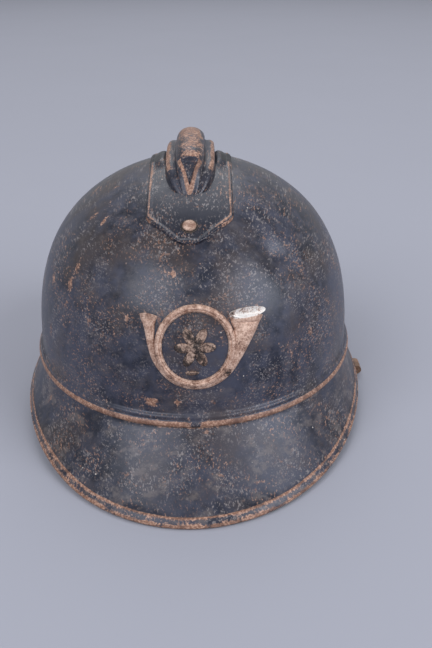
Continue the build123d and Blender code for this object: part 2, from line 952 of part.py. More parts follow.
# Strap fittings on each side
def ring_bars(droop_way, droop):
    """The free bar's place in its side's upright plane, for a ring swung out (1) or in (-1)."""
    return Vector(
        hinge_x + droop_way * ring_depth * cos(radians(droop)), hinge_z - ring_depth * sin(radians(droop))
    )


def ring_plane(side, droop_way, droop):
    """The ring's own plane: its x runs from the hinge bar to the free bar and its y along the bars."""
    hinge = side_point(side, Vector(hinge_x, hinge_z))
    free = side_point(side, ring_bars(droop_way, droop))
    reach = (free - hinge).normalized()
    return Plane(origin=hinge, x_dir=reach, z_dir=reach.cross(Vector(0, 1, 0)))


def strap_ring(side, droop_way, droop):
    """A rounded wire ring, at its resting angle."""
    half = (ring_width - ring_wire) / 2
    with BuildPart() as made:
        with BuildLine() as path:
            Polyline((0, 0), (0, half), (ring_depth, half), (ring_depth, -half), (0, -half), close=True)
            fillet(path.vertices().filter_by(lambda v: abs(v.Y) > half / 2), ring_corner)
        with BuildSketch(Plane(origin=(0, 0, 0), z_dir=(0, 1, 0))):
            Circle(ring_wire / 2)
        sweep(path=path.line)
    return ring_plane(side, droop_way, droop).location * made.part


def bracket_section():
    """A bracket in its side's upright plane: a strip down from the rivet to a rolled eye."""
    wall = side_stack + bracket_gap
    top = side_bend + side_down * bracket_top_along - side_out * (wall + side_bow(bracket_top_along))
    bend = side_bend + side_down * bracket_bend_along - side_out * (wall + slope_sag)
    hinge = Vector(hinge_x, hinge_z)
    inner = ring_wire / 2 + eye_gap
    outer = inner + bracket_sheet
    lean = (hinge - bend).normalized()
    across = Vector(-lean.Y, lean.X)
    end = hinge + across * (outer - bracket_sheet / 2)
    centre = [top - side_out * (bracket_sheet / 2), bend - side_out * (bracket_sheet / 2), end]
    with BuildSketch() as section:
        with BuildLine():
            Polyline(*[(point.X, point.Y) for point in centre])
        trace(line_width=bracket_sheet)
        with Locations((hinge.X, hinge.Y)):
            Circle(outer)
            Circle(inner, mode=Mode.SUBTRACT)
    return section.sketch


def strap_bracket(side):
    """The bracket on a side, drilled for its rivet."""
    with BuildPart() as made:
        add(bracket_section())
        extrude(amount=bracket_width / 2, both=True, dir=(0, 0, 1))
    placed = side_plane(side).location * made.part
    place, axis = side_rivet_sites[0 if side < 0 else 1]
    return placed - rivet_hole(place, axis, side_rivet_shank, hem_width)


def stub_section():
    """The strap's stub in the upright plane: a roll round the free bar and its sewn tail."""
    centre = ring_bars(1, left_ring_droop)
    bore = ring_wire / 2 + stub_bore_gap
    outer = bore + stub_leather
    with BuildSketch() as section:
        with Locations((centre.X, centre.Y)):
            Circle(outer)
            with Locations((-stub_tail / 2, stub_leather - outer)):
                Rectangle(stub_tail, 2 * stub_leather)
        with Locations((centre.X, centre.Y)):
            Circle(bore, mode=Mode.SUBTRACT)
    return section.sketch


with BuildPart() as strap_stub:
    add(stub_section())
    extrude(amount=stub_width / 2, both=True, dir=(0, 0, 1))

fittings = {
    "left_strap_ring": strap_ring(1, 1, left_ring_droop),
    "right_strap_ring": strap_ring(-1, -1, right_ring_droop),
    "left_strap_bracket": strap_bracket(1),
    "right_strap_bracket": strap_bracket(-1),
    "strap_stub": side_plane(1).location * strap_stub.part,
}

os.makedirs("parts", exist_ok=True)
pieces = {
    "bowl": bowl.part,
    "visor": visor.part,
    "neck_guard": guard_with_laps.part,
    "comb": comb.part,
    "comb_rivets": comb_rivets.part,
    "side_rivets": side_rivets.part,
    "badge": badge.part,
    "badge_prongs": badge_prongs.part,
    "felt_band": felt_band.part,
    "liner_crown": liner_crown.part,
    "crown_lace": crown_lace,
}
pieces.update(spacers)
pieces.update(fittings)
pieces.update({f"liner_tab_{place}": liner_tab(angle) for place, angle in tab_places.items()})
for name, piece in pieces.items():
    save(piece, name)
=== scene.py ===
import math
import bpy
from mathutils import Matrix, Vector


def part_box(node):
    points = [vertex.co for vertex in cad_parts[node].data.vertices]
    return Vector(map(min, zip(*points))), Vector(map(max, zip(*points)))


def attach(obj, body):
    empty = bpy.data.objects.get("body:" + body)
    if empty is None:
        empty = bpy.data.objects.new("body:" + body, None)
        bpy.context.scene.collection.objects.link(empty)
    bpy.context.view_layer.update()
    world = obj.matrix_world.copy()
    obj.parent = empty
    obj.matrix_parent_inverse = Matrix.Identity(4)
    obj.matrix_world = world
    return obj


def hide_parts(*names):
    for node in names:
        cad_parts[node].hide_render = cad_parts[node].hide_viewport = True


bl_info = {
    "name": "Crested Steel Helmet",
    "version": (1, 0, 0),
    "blender": (4, 5, 0),
    "location": "View3D > Sidebar > Helmet",
    "description": "Dresses a crested steel infantry helmet with its worn paint, badge, liner and strap fittings",
    "category": "Add Mesh",
}

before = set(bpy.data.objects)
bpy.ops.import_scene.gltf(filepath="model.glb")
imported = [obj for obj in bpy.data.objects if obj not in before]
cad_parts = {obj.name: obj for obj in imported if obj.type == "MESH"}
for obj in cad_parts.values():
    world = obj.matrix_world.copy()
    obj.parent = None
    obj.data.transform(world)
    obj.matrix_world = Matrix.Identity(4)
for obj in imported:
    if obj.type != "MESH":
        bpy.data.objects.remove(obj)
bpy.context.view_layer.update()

import bpy
from bpy.props import FloatProperty, FloatVectorProperty, PointerProperty
from mathutils import Matrix, Vector, noise

MM = 0.001
# Points nearer than the first are merged; edges shorter than the second are dissolved.
MERGE, SLIVER = 0.00001, 0.000001
# How the bowl's half profile is pulled from its foot to its crown, outwards and upwards.
REACH_PULLS = (1, 1, 0.79, 0.333, 0)
HEIGHT_PULLS = (0, 0.61, 0.824, 1, 1)
TONGUES = 7


def length(millimetres, words):
    """A size property, stated here in millimetres."""
    return FloatProperty(name=words, default=millimetres * MM, unit="LENGTH", precision=5)


def colour(shade, words):
    """A colour property."""
    return FloatVectorProperty(name=words, default=shade, subtype="COLOR", size=3, min=0, max=1)


class HelmetShell(bpy.types.PropertyGroup):
    steel: length(0.7, "Thickness of the pressed sheet")
    bowl_half_width: length(94.5, "Half the bowl's width at its foot")
    bowl_half_length: length(111.5, "Half the bowl's length at its foot")
    bowl_base: length(38.5, "Height of the bowl's foot above the table")
    bowl_rise: length(107.0, "Height of the crown above the bowl's foot")
    skirt_out: length(2.0, "How far the skirt stands out from the bowl")
    skirt_height: length(4.7, "Height of the stepped skirt that holds the brims")
    brim_half_width: length(103.5, "Half the width across the brims")
    visor_reach: length(153.0, "How far the visor reaches forward of the middle")
    guard_reach: length(143.0, "How far the neck guard reaches back of the middle")
    side_lift: length(8.0, "How far the hem rises at the sides")
    hem_width: length(5.5, "Width of the folded hem")
    hem_rise: length(0.65, "How far the hem stands proud of the sheet on each face")
    slope_sag: length(1.2, "Hollow of the brim's slope")


class HelmetComb(bpy.types.PropertyGroup):
    flange_half_width: length(23.0, "Half the width of the flange under the crest")
    flange_corner: length(62.0, "Where the flange starts to narrow")
    flange_tip: length(84.4, "Where the flange's sides would meet")
    tip_round: length(14.0, "Radius of the flange's rounded tips")
    crest_half_length: length(49.5, "Half the length of the crest")
    crest_half_width: length(8.2, "Half the width of the crest's upper roll")
    crest_rise: length(15.3, "Height of the crest above the crown")
    step_half_width: length(13.8, "Half the width of the crest's lower step")
    step_rise: length(7.4, "Height of the lower step above the crown")
    louvre_rise: length(3.0, "Height of the air louvre on each side")
    rivet_place: length(69.3, "Distance of each comb rivet from the middle")
    rivet_head: length(4.6, "Radius of a comb rivet's head")


class HelmetBadge(bpy.types.PropertyGroup):
    middle_x: length(2.45, "Place of the badge across the bowl")
    middle_z: length(76.5, "Height of the badge's middle above the table")
    ring_radius: length(18.4, "Radius of the curled tube")
    tube: length(2.2, "Half the width of the curled tube")
    relief: length(2.6, "Height of the stamped relief")


class HelmetLiner(bpy.types.PropertyGroup):
    leather: length(1.5, "Thickness of the liner leather")
    rise: length(83.0, "Height of the leather crown above the bowl's foot")
    inset: length(8.85, "Distance of the leather in from the bowl")
    foot: length(2.0, "Height of the leather's lower edge above the bowl's foot")
    opening: length(24.0, "Radius of the drawn opening")
    felt: length(2.0, "Thickness of the felt band")
    felt_height: length(30.0, "Height of the felt band")
    lace: length(2.0, "Diameter of the drawn lace")
    lace_ring: length(31.0, "Radius at which the lace passes the tongues")


class HelmetColours(bpy.types.PropertyGroup):
    paint: colour((0.010, 0.012, 0.022), "The dark blue-black paint")
    # The haze is partly dust and partly painted sheen.
    haze: colour((0.046, 0.050, 0.077), "Paint under a film of dust")
    grime: colour((0.050, 0.037, 0.034), "Brown grime over the paint")
    smear: colour((0.125, 0.105, 0.102), "Dried dirt smeared over the paint")
    scuff: colour((0.23, 0.205, 0.205), "Paint scuffed down to its grey")
    bare: colour((0.225, 0.115, 0.075), "Tan rust where the paint is gone")
    bright: colour((0.47, 0.29, 0.215), "The palest rubbed edges")
    brass: colour((0.33, 0.185, 0.135), "The badge's pinkish brown metal")
    polish: colour((0.74, 0.53, 0.43), "The badge where it is rubbed bright")
    pale: colour((0.80, 0.76, 0.73), "The rubbed bell of the horn")
    leather: colour((0.115, 0.055, 0.028), "The liner leather")
    strap: colour((0.27, 0.155, 0.10), "The dried strap end")
    felt: colour((0.030, 0.034, 0.050), "The felt band")
    lace: colour((0.30, 0.25, 0.19), "The cotton lace")
    floor: colour((0.372, 0.381, 0.448), "The pale floor and backdrop")


def shell():
    return bpy.context.scene.helmet_shell


def comb():
    return bpy.context.scene.helmet_comb


def badge():
    return bpy.context.scene.helmet_badge


def liner():
    return bpy.context.scene.helmet_liner


def colours():
    return bpy.context.scene.helmet_colours


# Shapes of the pressed bowl
def profile_share(turn, pulls):
    """One coordinate of the bowl's half profile at a turn from its foot (0) to its crown (1)."""
    back = 1 - turn
    weights = (back**4, 4 * turn * back**3, 6 * turn**2 * back**2, 4 * turn**3 * back, turn**4)
    return sum(weight * pull for weight, pull in zip(weights, pulls))


def turn_where(share, pulls):
    """The turn at which a coordinate of the profile reaches a share."""
    rising = pulls[-1] > pulls[0]
    low, high = 0.0, 1.0
    for _ in range(30):
        middle = (low + high) / 2
        if (profile_share(middle, pulls) < share) == rising:
            low = middle
        else:
            high = middle
    return (low + high) / 2


def oval():
    return shell().bowl_half_length / shell().bowl_half_width


def round_oval(turn, radius, height):
    """A place at a turn round the bowl's oval, from the front (0) round to the wearer's left."""
    return Vector((radius * math.sin(turn), -radius * oval() * math.cos(turn), height))


def smooth(value, low, high):
    """A soft step from 0 at low to 1 at high."""
    share = min(1, max(0, (value - low) / (high - low)))
    return share * share * (3 - 2 * share)


def crown_height(x, y):
    """Height of the bowl's outer surface above the table."""
    share = math.hypot(x, y / oval()) / shell().bowl_half_width
    return shell().bowl_base + shell().bowl_rise * profile_share(turn_where(min(share, 1), REACH_PULLS), HEIGHT_PULLS)


def on_crown(x, y, out):
    """A place on the top of the bowl, moved out along its normal."""
    height, probe = crown_height(x, y), 0.5 * MM
    across = (crown_height(x + probe, y) - height) / probe
    along = (crown_height(x, y + probe) - height) / probe
    return Vector((x, y, height)) + Vector((-across, -along, 1)).normalized() * out


def on_front(x, z, out):
    """A place on the front of the bowl, moved out along its normal."""

    def surface(x, z):
        turn = turn_where(max(0, (z - shell().bowl_base) / shell().bowl_rise), HEIGHT_PULLS)
        reach = shell().bowl_half_width * profile_share(turn, REACH_PULLS)
        return Vector((x, -oval() * math.sqrt(max(0, reach**2 - x**2)), z))

    here, probe = surface(x, z), 0.5 * MM
    normal = (surface(x + probe, z) - here).cross(surface(x, z + probe) - here).normalized()
    return here + normal * out


def grain(place, size, seed=0.0):
    """Smooth noise between -1 and 1 with features of a given size."""
    return noise.noise(Vector(place) / size + Vector((seed, seed * 0.7, seed * 1.3)))


# Making and finishing pieces
def deselect():
    if bpy.context.object and bpy.context.object.mode != "OBJECT":
        bpy.ops.object.mode_set(mode="OBJECT")
    bpy.ops.object.select_all(action="DESELECT")


def take(piece):
    """Select one piece alone and make it active."""
    deselect()
    piece.select_set(True)
    bpy.context.view_layer.objects.active = piece


def sheet(name, columns, rows, place):
    """A grid of faces whose points are set by a function of two shares."""
    deselect()
    bpy.ops.mesh.primitive_grid_add(x_subdivisions=columns, y_subdivisions=rows, size=1)
    piece = bpy.context.object
    piece.name = piece.data.name = name
    for point in piece.data.vertices:
        point.co = place(round(point.co.x + 0.5, 5), round(point.co.y + 0.5, 5))
    return piece


def edit(piece):
    """Open one piece for editing, with all of it selected."""
    take(piece)
    bpy.ops.object.mode_set(mode="EDIT")
    bpy.ops.mesh.select_all(action="SELECT")


def close_seams(piece, caps=False):
    """Merge the edges that meet and point the faces outwards."""
    edit(piece)
    bpy.ops.mesh.remove_doubles(threshold=MERGE)
    if caps:
        bpy.ops.mesh.fill_holes(sides=0)
        bpy.ops.mesh.select_all(action="SELECT")
    bpy.ops.mesh.dissolve_degenerate(threshold=SLIVER)
    bpy.ops.mesh.select_all(action="SELECT")
    bpy.ops.mesh.normals_make_consistent(inside=False)
    bpy.ops.object.mode_set(mode="OBJECT")


def face_from(piece, middle):
    """Turn an open sheet's faces to look away from a point."""
    facing = sum((face.center - middle).dot(face.normal) * face.area for face in piece.data.polygons)
    if facing < 0:
        edit(piece)
        bpy.ops.mesh.flip_normals()
        bpy.ops.object.mode_set(mode="OBJECT")


def thicken(piece, thickness):
    """Give an open sheet its wall, inwards."""
    take(piece)
    wall = piece.modifiers.new("Wall", "SOLIDIFY")
    wall.thickness = thickness
    wall.offset = -1.0
    wall.use_even_offset = True
    bpy.ops.object.modifier_apply(modifier="Wall")


def join(name, pieces):
    """Join pieces into one."""
    take(pieces[0])
    for piece in pieces:
        piece.select_set(True)
    if len(pieces) > 1:
        bpy.ops.object.join()
    whole = bpy.context.object
    whole.name = whole.data.name = name
    return whole


def mark_values(piece, values, name="wear"):
    """Store how rubbed (or dark, or pale) each point is, from 0 to 1, for the finishes to read."""
    layer = piece.data.attributes.new(name, "FLOAT", "POINT")
    layer.data.foreach_set("value", [min(1, max(0, value)) for value in values])


def mark_wear(piece, wear, name="wear"):
    mark_values(piece, [wear(point.co) for point in piece.data.vertices], name)


def finish(piece, body, slot, material, *nodes, angle=38):
    """Smooth, colour and seat a piece on its body, in place of its CAD nodes."""
    take(piece)
    bpy.ops.object.shade_smooth_by_angle(angle=math.radians(angle))
    piece.data.materials.clear()
    piece.data.materials.append(material)
    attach(piece, body)
    if nodes:
        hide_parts(*nodes)
    return piece


# Finishes
class Finish:
    """A node material, built from its shader backwards."""

    def __init__(self, name):
        self.material = bpy.data.materials.new(name)
        self.material.use_nodes = True
        self.tree = self.material.node_tree
        self.tree.nodes.clear()
        output = self.tree.nodes.new("ShaderNodeOutputMaterial")
        self.shader = self.tree.nodes.new("ShaderNodeBsdfPrincipled")
        self.tree.links.new(self.shader.outputs[0], output.inputs[0])
        self.place = self.tree.nodes.new("ShaderNodeTexCoord").outputs["Object"]

    def fill(self, socket, value):
        """Link a socket to another one, or give it a value."""
        if isinstance(value, bpy.types.NodeSocket):
            self.tree.links.new(value, socket)
        else:
            socket.default_value = value

    def set(self, key, value):
        self.fill(self.shader.inputs[key], value)

    def node(self, kind, **values):
        """A node whose inputs are filled by name, with underscores for spaces."""
        made = self.tree.nodes.new(kind)
        for key, value in values.items():
            self.fill(made.inputs[key.replace("_", " ")], value)
        return made

    def fractal(self, place, scale, detail, roughness):
        made = self.node("ShaderNodeTexNoise", Vector=place, Scale=scale, Detail=detail, Roughness=roughness)
        return made.outputs["Fac"]

    def noise(self, size, detail=3.0, roughness=0.55):
        """Noise with features of a size in millimetres."""
        return self.fractal(self.place, 1 / (size * MM), detail, roughness)

    def streaks(self, scale, detail, roughness, turn=(0, 0, 0)):
        """Noise scaled by its own amount along each axis, after a turn."""
        place = self.node("ShaderNodeMapping", Vector=self.place, Scale=scale, Rotation=turn).outputs[0]
        return self.fractal(place, 1.0, detail, roughness)

    def maths(self, operation, *values):
        made = self.tree.nodes.new("ShaderNodeMath")
        made.operation = operation
        for socket, value in zip(made.inputs, values):
            self.fill(socket, value)
        return made.outputs[0]

    def add(self, first, second):
        return self.maths("ADD", first, second)

    def less(self, first, second):
        return self.maths("SUBTRACT", first, second)

    def times(self, first, second):
        return self.maths("MULTIPLY", first, second)

    def most(self, first, second):
        return self.maths("MAXIMUM", first, second)

    def blend(self, first, much, second, little):
        """The sum of two values in stated shares."""
        return self.add(self.times(first, much), self.times(second, little))

    def step(self, value, low, high, bottom=0.0, top=1.0):
        """A soft step of a value."""
        made = self.node("ShaderNodeMapRange", Value=value, From_Min=low, From_Max=high, To_Min=bottom, To_Max=top)
        made.interpolation_type = "SMOOTHSTEP"
        return made.outputs["Result"]

    def mix(self, share, first, second):
        """A share of the second colour over the first."""
        made = self.tree.nodes.new("ShaderNodeMix")
        made.data_type = "RGBA"
        for key, value in ((0, share), (6, first), (7, second)):
            plain = isinstance(value, (int, float, bpy.types.NodeSocket))
            self.fill(made.inputs[key], value if plain else (*value, 1))
        return made.outputs[2]

    def attribute(self, name):
        made = self.tree.nodes.new("ShaderNodeAttribute")
        made.attribute_name = name
        return made.outputs["Fac"]

    def cells(self, scale):
        return self.node("ShaderNodeTexVoronoi", Vector=self.place, Scale=scale)

    def bump(self, height, strength, depth):
        """Relief of a depth in millimetres."""
        made = self.node("ShaderNodeBump", Height=height, Strength=strength, Distance=depth * MM)
        self.set("Normal", made.outputs[0])


def scaled(shade, factor):
    return tuple(factor * value for value in shade)


def worn_paint(name, smeared=0.25, dust_and_sheen=1.0):
    """Blue-black paint under dust and grime and a haze that is partly painted sheen, speckled, scratched, rubbed to tan
    rust where it is marked, and painted near black as shadow where it is marked dark.
    """
    shades = colours()
    made = Finish(name)
    broad, middle = made.noise(46, 3), made.noise(8, 4, 0.6)
    fine, grit = made.noise(2.6, 3, 0.6), made.noise(1.1, 2, 0.6)
    # Dust, grime and dried dirt lie over the paint in soft patches; the pale haze patches are partly dust and partly
    # painted sheen, and less haze paints a piece darker.
    dust = made.blend(broad, 0.5, middle, 0.5)
    painted = made.mix(made.step(dust, 0.38, 0.60, 0, dust_and_sheen), shades.paint, shades.haze)
    painted = made.mix(made.step(made.noise(31, 4, 0.6), 0.44, 0.66, 0, 0.75 * dust_and_sheen), painted, shades.grime)
    smears = made.step(made.streaks((105, 105, 175), 5, 0.68), 0.49, 0.66, 0, smeared)
    painted = made.mix(smears, painted, shades.smear)
    # Grey speckle crowds together in places.
    grains = made.blend(grit, 0.6, fine, 0.4)
    crowding = made.step(made.noise(24, 3, 0.6), 0.38, 0.64, -0.11, 0.022)
    speckle = made.step(made.add(grains, crowding), 0.53, 0.65)
    painted = made.mix(made.times(speckle, 0.34), painted, shades.scuff)
    # Hairline scratches run three ways in grey and two ways in rust.
    tan = made.mix(made.step(grit, 0.43, 0.66), shades.bare, shades.bright)
    grey_turns = ((0.3, 0.2, 0.5), (0.1, 1.1, 1.4), (1.2, 0.3, 2.4))
    tan_turns = ((0.05, 0.1, 1.6), (0.7, 0.5, 2.0))
    for turns, length_scale, patch, shade in ((grey_turns, 70, 19, shades.scuff), (tan_turns, 90, 27, tan)):
        hairs = None
        for index, turn in enumerate(turns):
            lines = made.streaks((950 - 110 * index, length_scale, 900), 2, 0.5, turn)
            cut = made.step(lines, 0.61, 0.69)
            hairs = cut if hairs is None else made.most(hairs, cut)
        hairs = made.times(hairs, made.step(made.noise(patch, 3), 0.42, 0.60))
        painted = made.mix(made.times(hairs, 0.75), painted, shade)
    # Rust stains in clusters.
    crowded = made.step(made.noise(17, 4, 0.65), 0.47, 0.70, -0.15, 0.015)
    stain = made.step(made.add(grains, crowded), 0.56, 0.64)
    painted = made.mix(made.times(stain, 0.42), painted, tan)
    # Rust shows where the piece is marked as rubbed, and in a few chips.
    ragged = made.blend(middle, 0.55, grains, 0.95)
    rubbed = made.step(made.add(made.attribute("wear"), made.less(ragged, 0.75)), 0.42, 0.58)
    rust = made.mix(made.step(middle, 0.32, 0.54), (0.135, 0.070, 0.050), tan)
    chips = made.times(made.step(made.noise(12, 4, 0.7), 0.645, 0.675), made.step(fine, 0.44, 0.52))
    bare = made.most(rubbed, made.times(chips, 0.7))
    surface = made.mix(bare, painted, rust)
    # A few pale flecks, one in forty cells.
    specks = made.cells(260)
    parts = made.node("ShaderNodeSeparateColor", Color=specks.outputs["Color"])
    rare = made.step(parts.outputs[0], 0.975, 0.978)
    flecks = made.times(made.step(specks.outputs["Distance"], 0.08, 0.14, 1, 0), rare)
    surface = made.mix(flecks, surface, (0.55, 0.50, 0.46))
    # Where a point is marked dark the paint is painted near black: on the comb this is painted shadow inside the
    # louvres' ends.
    made.set("Base Color", made.mix(made.attribute("dark"), surface, (0.003, 0.003, 0.004)))
    made.set("Specular Tint", (0.84, 0.87, 1.0, 1))
    rough = made.add(made.step(dust, 0.36, 0.64, 0.27, 0.41), made.times(speckle, 0.12))
    made.set("Roughness", made.add(rough, made.times(bare, 0.15)))
    made.bump(made.less(made.times(grains, 0.5), made.times(bare, 0.5)), 0.45, 0.10)
    return made.material


def rubbed_metal(name, worn=0.5):
    """The badge's and rivets' tan metal, with dark paint left in the badge's hollows, and darker towards the rivet
    heads' edges.
    """
    shades = colours()
    made = Finish(name)
    middle, fine = made.noise(4, 4, 0.6), made.noise(0.9, 4, 0.65)
    ragged = made.blend(middle, 0.5, fine, 0.5)
    bare = made.step(made.add(made.attribute("wear"), made.less(ragged, worn)), 0.40, 0.60)
    tan = made.mix(made.step(ragged, 0.40, 0.64), shades.brass, shades.polish)
    pale = made.step(made.add(made.attribute("pale"), made.less(ragged, 0.5)), 0.45, 0.60)
    tan = made.mix(pale, tan, shades.pale)
    tan = made.mix(made.attribute("dark"), tan, (0.048, 0.027, 0.020))
    made.set("Base Color", made.mix(bare, (0.030, 0.022, 0.020), tan))
    made.set("Metallic", 0.25)
    made.set("Roughness", made.step(fine, 0.3, 0.7, 0.40, 0.62))
    made.bump(made.add(fine, made.times(middle, 0.6)), 0.45, 0.10)
    return made.material


def dull_metal(name, base, dark, stain_size, metallic):
    """Plain dull sheet or wire with stains."""
    made = Finish(name)
    middle, fine = made.noise(stain_size, 4, 0.6), made.noise(0.8, 3, 0.6)
    made.set("Base Color", made.mix(made.step(made.blend(middle, 0.7, fine, 0.3), 0.40, 0.62), base, dark))
    made.set("Metallic", metallic)
    made.set("Roughness", made.step(fine, 0.3, 0.7, 0.38, 0.62))
    made.bump(fine, 0.35, 0.06)
    return made.material


def old_leather(name, base, pore=0.9):
    """Creased brown leather with fine grain and darker handling marks."""
    made = Finish(name)
    broad, fine = made.noise(26, 4, 0.6), made.noise(pore, 3, 0.6)
    cells = made.cells(1 / (1.3 * pore * MM))
    creases = made.step(made.streaks((160, 160, 620), 3, 0.6), 0.56, 0.66)
    shade = made.mix(made.step(broad, 0.36, 0.66), base, scaled(base, 0.42))
    made.set("Base Color", made.mix(made.times(creases, 0.5), shade, scaled(base, 1.5)))
    made.set("Roughness", made.step(broad, 0.3, 0.7, 0.46, 0.66))
    relief = made.blend(cells.outputs["Distance"], 0.8, fine, 0.4)
    made.bump(made.less(relief, made.times(creases, 0.5)), 0.55, 0.16)
    return made.material


def pressed_felt(name, base):
    """Felted wool with a short matted nap."""
    made = Finish(name)
    fibres = made.streaks((900, 900, 2600), 4, 0.7)
    nap = made.times(fibres, made.step(made.noise(12, 4, 0.6), 0.2, 0.8, 0.5, 1))
    made.set("Base Color", made.mix(nap, base, scaled(base, 2.6)))
    made.set("Roughness", 0.95)
    made.set("Sheen Weight", 0.35)
    made.bump(fibres, 0.8, 0.25)
    return made.material


def twisted_cotton(name, base):
    """Plain cotton lace with a fine twist."""
    made = Finish(name)
    strands = made.noise(0.7, 2, 0.5)
    shade = made.mix(made.step(made.noise(9, 3, 0.6), 0.4, 0.7), base, scaled(base, 0.5))
    made.set("Base Color", made.mix(made.times(strands, 0.5), shade, scaled(base, 0.4)))
    made.set("Roughness", 0.9)
    made.bump(strands, 0.8, 0.15)
    return made.material


# Pressed steel
BOWL_ROWS, BOWL_COLUMNS = 84, 340
VISOR_COLUMNS, GUARD_COLUMNS = 190, 170
# Each brim's end, in degrees from the front.
VISOR_END, GUARD_START = 95, 95.4
# The stepped skirt's profile: out from the skirt's face and down from the bowl's foot, in millimetres.
SKIRT = (
    (-1.92, -2.5), (-1.72, -2.0), (-1.30, -1.6), (-0.85, -1.25), (-0.52, -0.8), (-0.36, -0.2), (-0.32, 0.4),
    (-0.34, 0.8), (-0.20, 1.1), (0.12, 1.4), (0.45, 1.8), (0.68, 2.4), (0.76, 3.0), (0.72, 3.6),
    (0.56, 4.1), (0.28, 4.5), (-0.1, 4.7),
)
# The folded hem: on from its fold, proud of the sheet and, above, how rubbed.
HEM_ABOVE = (
    (-0.3, 0.06, 0.2), (0.05, 0.30, 0.66), (0.45, 0.58, 0.72), (1.0, 0.65, 0.56), (1.9, 0.62, 0.38),
    (2.8, 0.56, 0.36), (3.6, 0.62, 0.46), (4.2, 0.65, 0.58),
)
HEM_BELOW = ((4.0, -1.35), (2.5, -1.30), (0.9, -1.35), (0.2, -1.05), (-0.3, -0.75))
# Place, reach and depth of each dent, in metres.
DENTS = (
    ((0.0437, -0.0706, 0.1125), 0.0068, 0.0024), ((0.0437, -0.0706, 0.1125), 0.014, 0.0008),
    ((-0.052, -0.074, 0.098), 0.016, 0.0006),
)
# Rubbed patches on the front: across, height, half width and half height in millimetres, lean and strength.
PATCHES = (
    (-60.1, 102.8, 2.2, 5.2, 0.35, 0.62), (-64.9, 93.4, 2.4, 4.8, 0.10, 0.66), (-76.6, 90.6, 3.0, 6.0, 0.0, 0.52),
    (-64.9, 81.4, 1.3, 5.5, 0.0, 0.50), (-53.8, 86.5, 2.0, 2.0, 0.0, 0.55), (-47.4, 90.3, 1.8, 1.8, 0.0, 0.52),
    (-31.7, 88.1, 2.1, 4.0, 0.0, 0.62), (-44.5, 78.0, 1.9, 3.2, 0.0, 0.58), (-38.5, 79.5, 2.1, 2.1, 0.0, 0.56),
    (-37.2, 73.7, 1.8, 1.8, 0.0, 0.50), (-20.3, 46.3, 6.0, 2.7, 0.0, 0.92), (-6.9, 46.6, 3.0, 2.4, 0.0, 0.85),
    (-9.2, 109.5, 2.4, 2.2, 0.0, 0.42), (-12.7, 111.0, 1.6, 2.4, 0.0, 0.44), (5.8, 113.3, 0.9, 1.8, 1.5, 0.56),
    (63.9, 70.1, 3.0, 3.8, 0.0, 0.62), (45.6, 71.1, 1.8, 1.8, 0.0, 0.42), (47.6, 125.1, 5.0, 3.0, 0.0, 0.32),
    (37.1, 50.6, 0.8, 3.5, 0.0, 0.50), (40.8, 47.6, 0.8, 5.5, 0.0, 0.54), (48.8, 43.8, 0.8, 3.5, 0.0, 0.50),
    (51.9, 46.0, 0.8, 2.6, 0.0, 0.46), (-48.9, 124.1, 7.0, 4.0, 0.6, 0.30), (-55.9, 121.3, 1.0, 4.4, 1.2, 0.42),
    (-46.5, 123.5, 1.1, 2.3, 0.9, 0.44), (-44.1, 129.8, 2.0, 1.7, 0.0, 0.40), (-7.7, 108.4, 1.2, 2.6, 0.0, 0.48),
    (-2.7, 111.4, 1.5, 1.5, 0.8, 0.46), (-24.4, 106.5, 1.6, 2.6, 0.0, 0.42), (-1.6, 52.2, 1.9, 1.6, 0.0, 0.66),
)


def bowl_path():
    """The bowl's outer profile from its crown to the lip of its skirt, as radius and height."""
    sizes = shell()
    points = []
    for index in range(BOWL_ROWS):
        turn = 1 - index / (BOWL_ROWS - 1)
        height = sizes.bowl_base + sizes.bowl_rise * profile_share(turn, HEIGHT_PULLS)
        if height > sizes.bowl_base + 2.9 * MM:
            points.append((sizes.bowl_half_width * profile_share(turn, REACH_PULLS), height))
    skirt = sizes.bowl_half_width + sizes.skirt_out
    for out, down in SKIRT:
        points.append((skirt + out * MM, sizes.bowl_base - down * MM))
    return points


def bowl_dent(place):
    """How far the bowl is pushed in at a place."""
    push = 0.00016 * grain(place, 0.045, 3.1) + 0.00006 * grain(place, 0.014, 5.7)
    for middle, reach, depth in DENTS:
        push += depth * math.exp(-((place - Vector(middle)).length / reach) ** 2)
    return push


def bowl_wear(place):
    """Rubbing on the bowl: its lip and step, and patches where it has been knocked."""
    down = (shell().bowl_base - place.z) / MM
    front = smooth(-place.y, -0.02, 0.06)
    bare_break = 1 - 0.8 * math.exp(-(((place.x - 2.4 * MM) / (2.6 * MM)) ** 2)) * front
    lip = (0.46 + 0.32 * front) * smooth(down, 1.0, 1.5) * bare_break
    lip += 0.12 * smooth(down, -1.9, -1.4) * smooth(down, 0.2, -0.4)
    wear = lip * (1 + 0.20 * grain(place, 0.02, 9.0))
    if place.y < 0:
        for across, height, half_width, half_height, lean, depth in PATCHES:
            aside, above = place.x / MM - across, place.z / MM - height
            wear += depth * math.exp(-(((aside - lean * above) / half_width) ** 2) - (above / half_height) ** 2)
    return wear


class HELMET_OT_bowl(bpy.types.Operator):
    """Spin up the bowl with its stepped skirt, dents and wear"""

    bl_idname = "helmet.bowl"
    bl_label = "Bowl"

    def execute(self, context):
        path = bowl_path()

        def place(across, along):
            spot = round_oval(2 * math.pi * across, *path[round(along * (len(path) - 1))])
            inwards = Vector((spot.x, spot.y, max(0, spot.z - shell().bowl_base))).normalized()
            return spot - inwards * bowl_dent(spot)

        bowl = sheet("bowl_steel", BOWL_COLUMNS, len(path) - 1, place)
        close_seams(bowl)
        face_from(bowl, Vector((0, 0, shell().bowl_base)))
        thicken(bowl, shell().steel)
        mark_wear(bowl, bowl_wear)
        finish(bowl, "helmet", "shell_paint", worn_paint("Bowl paint"), "bowl")
        return {"FINISHED"}


def oval_reach(half_x, half_y, turn):
    """Distance from the middle to the edge of an oval, from the front (0) round to the wearer's left."""
    return half_x * half_y / math.hypot(half_y * math.sin(turn), half_x * math.cos(turn))


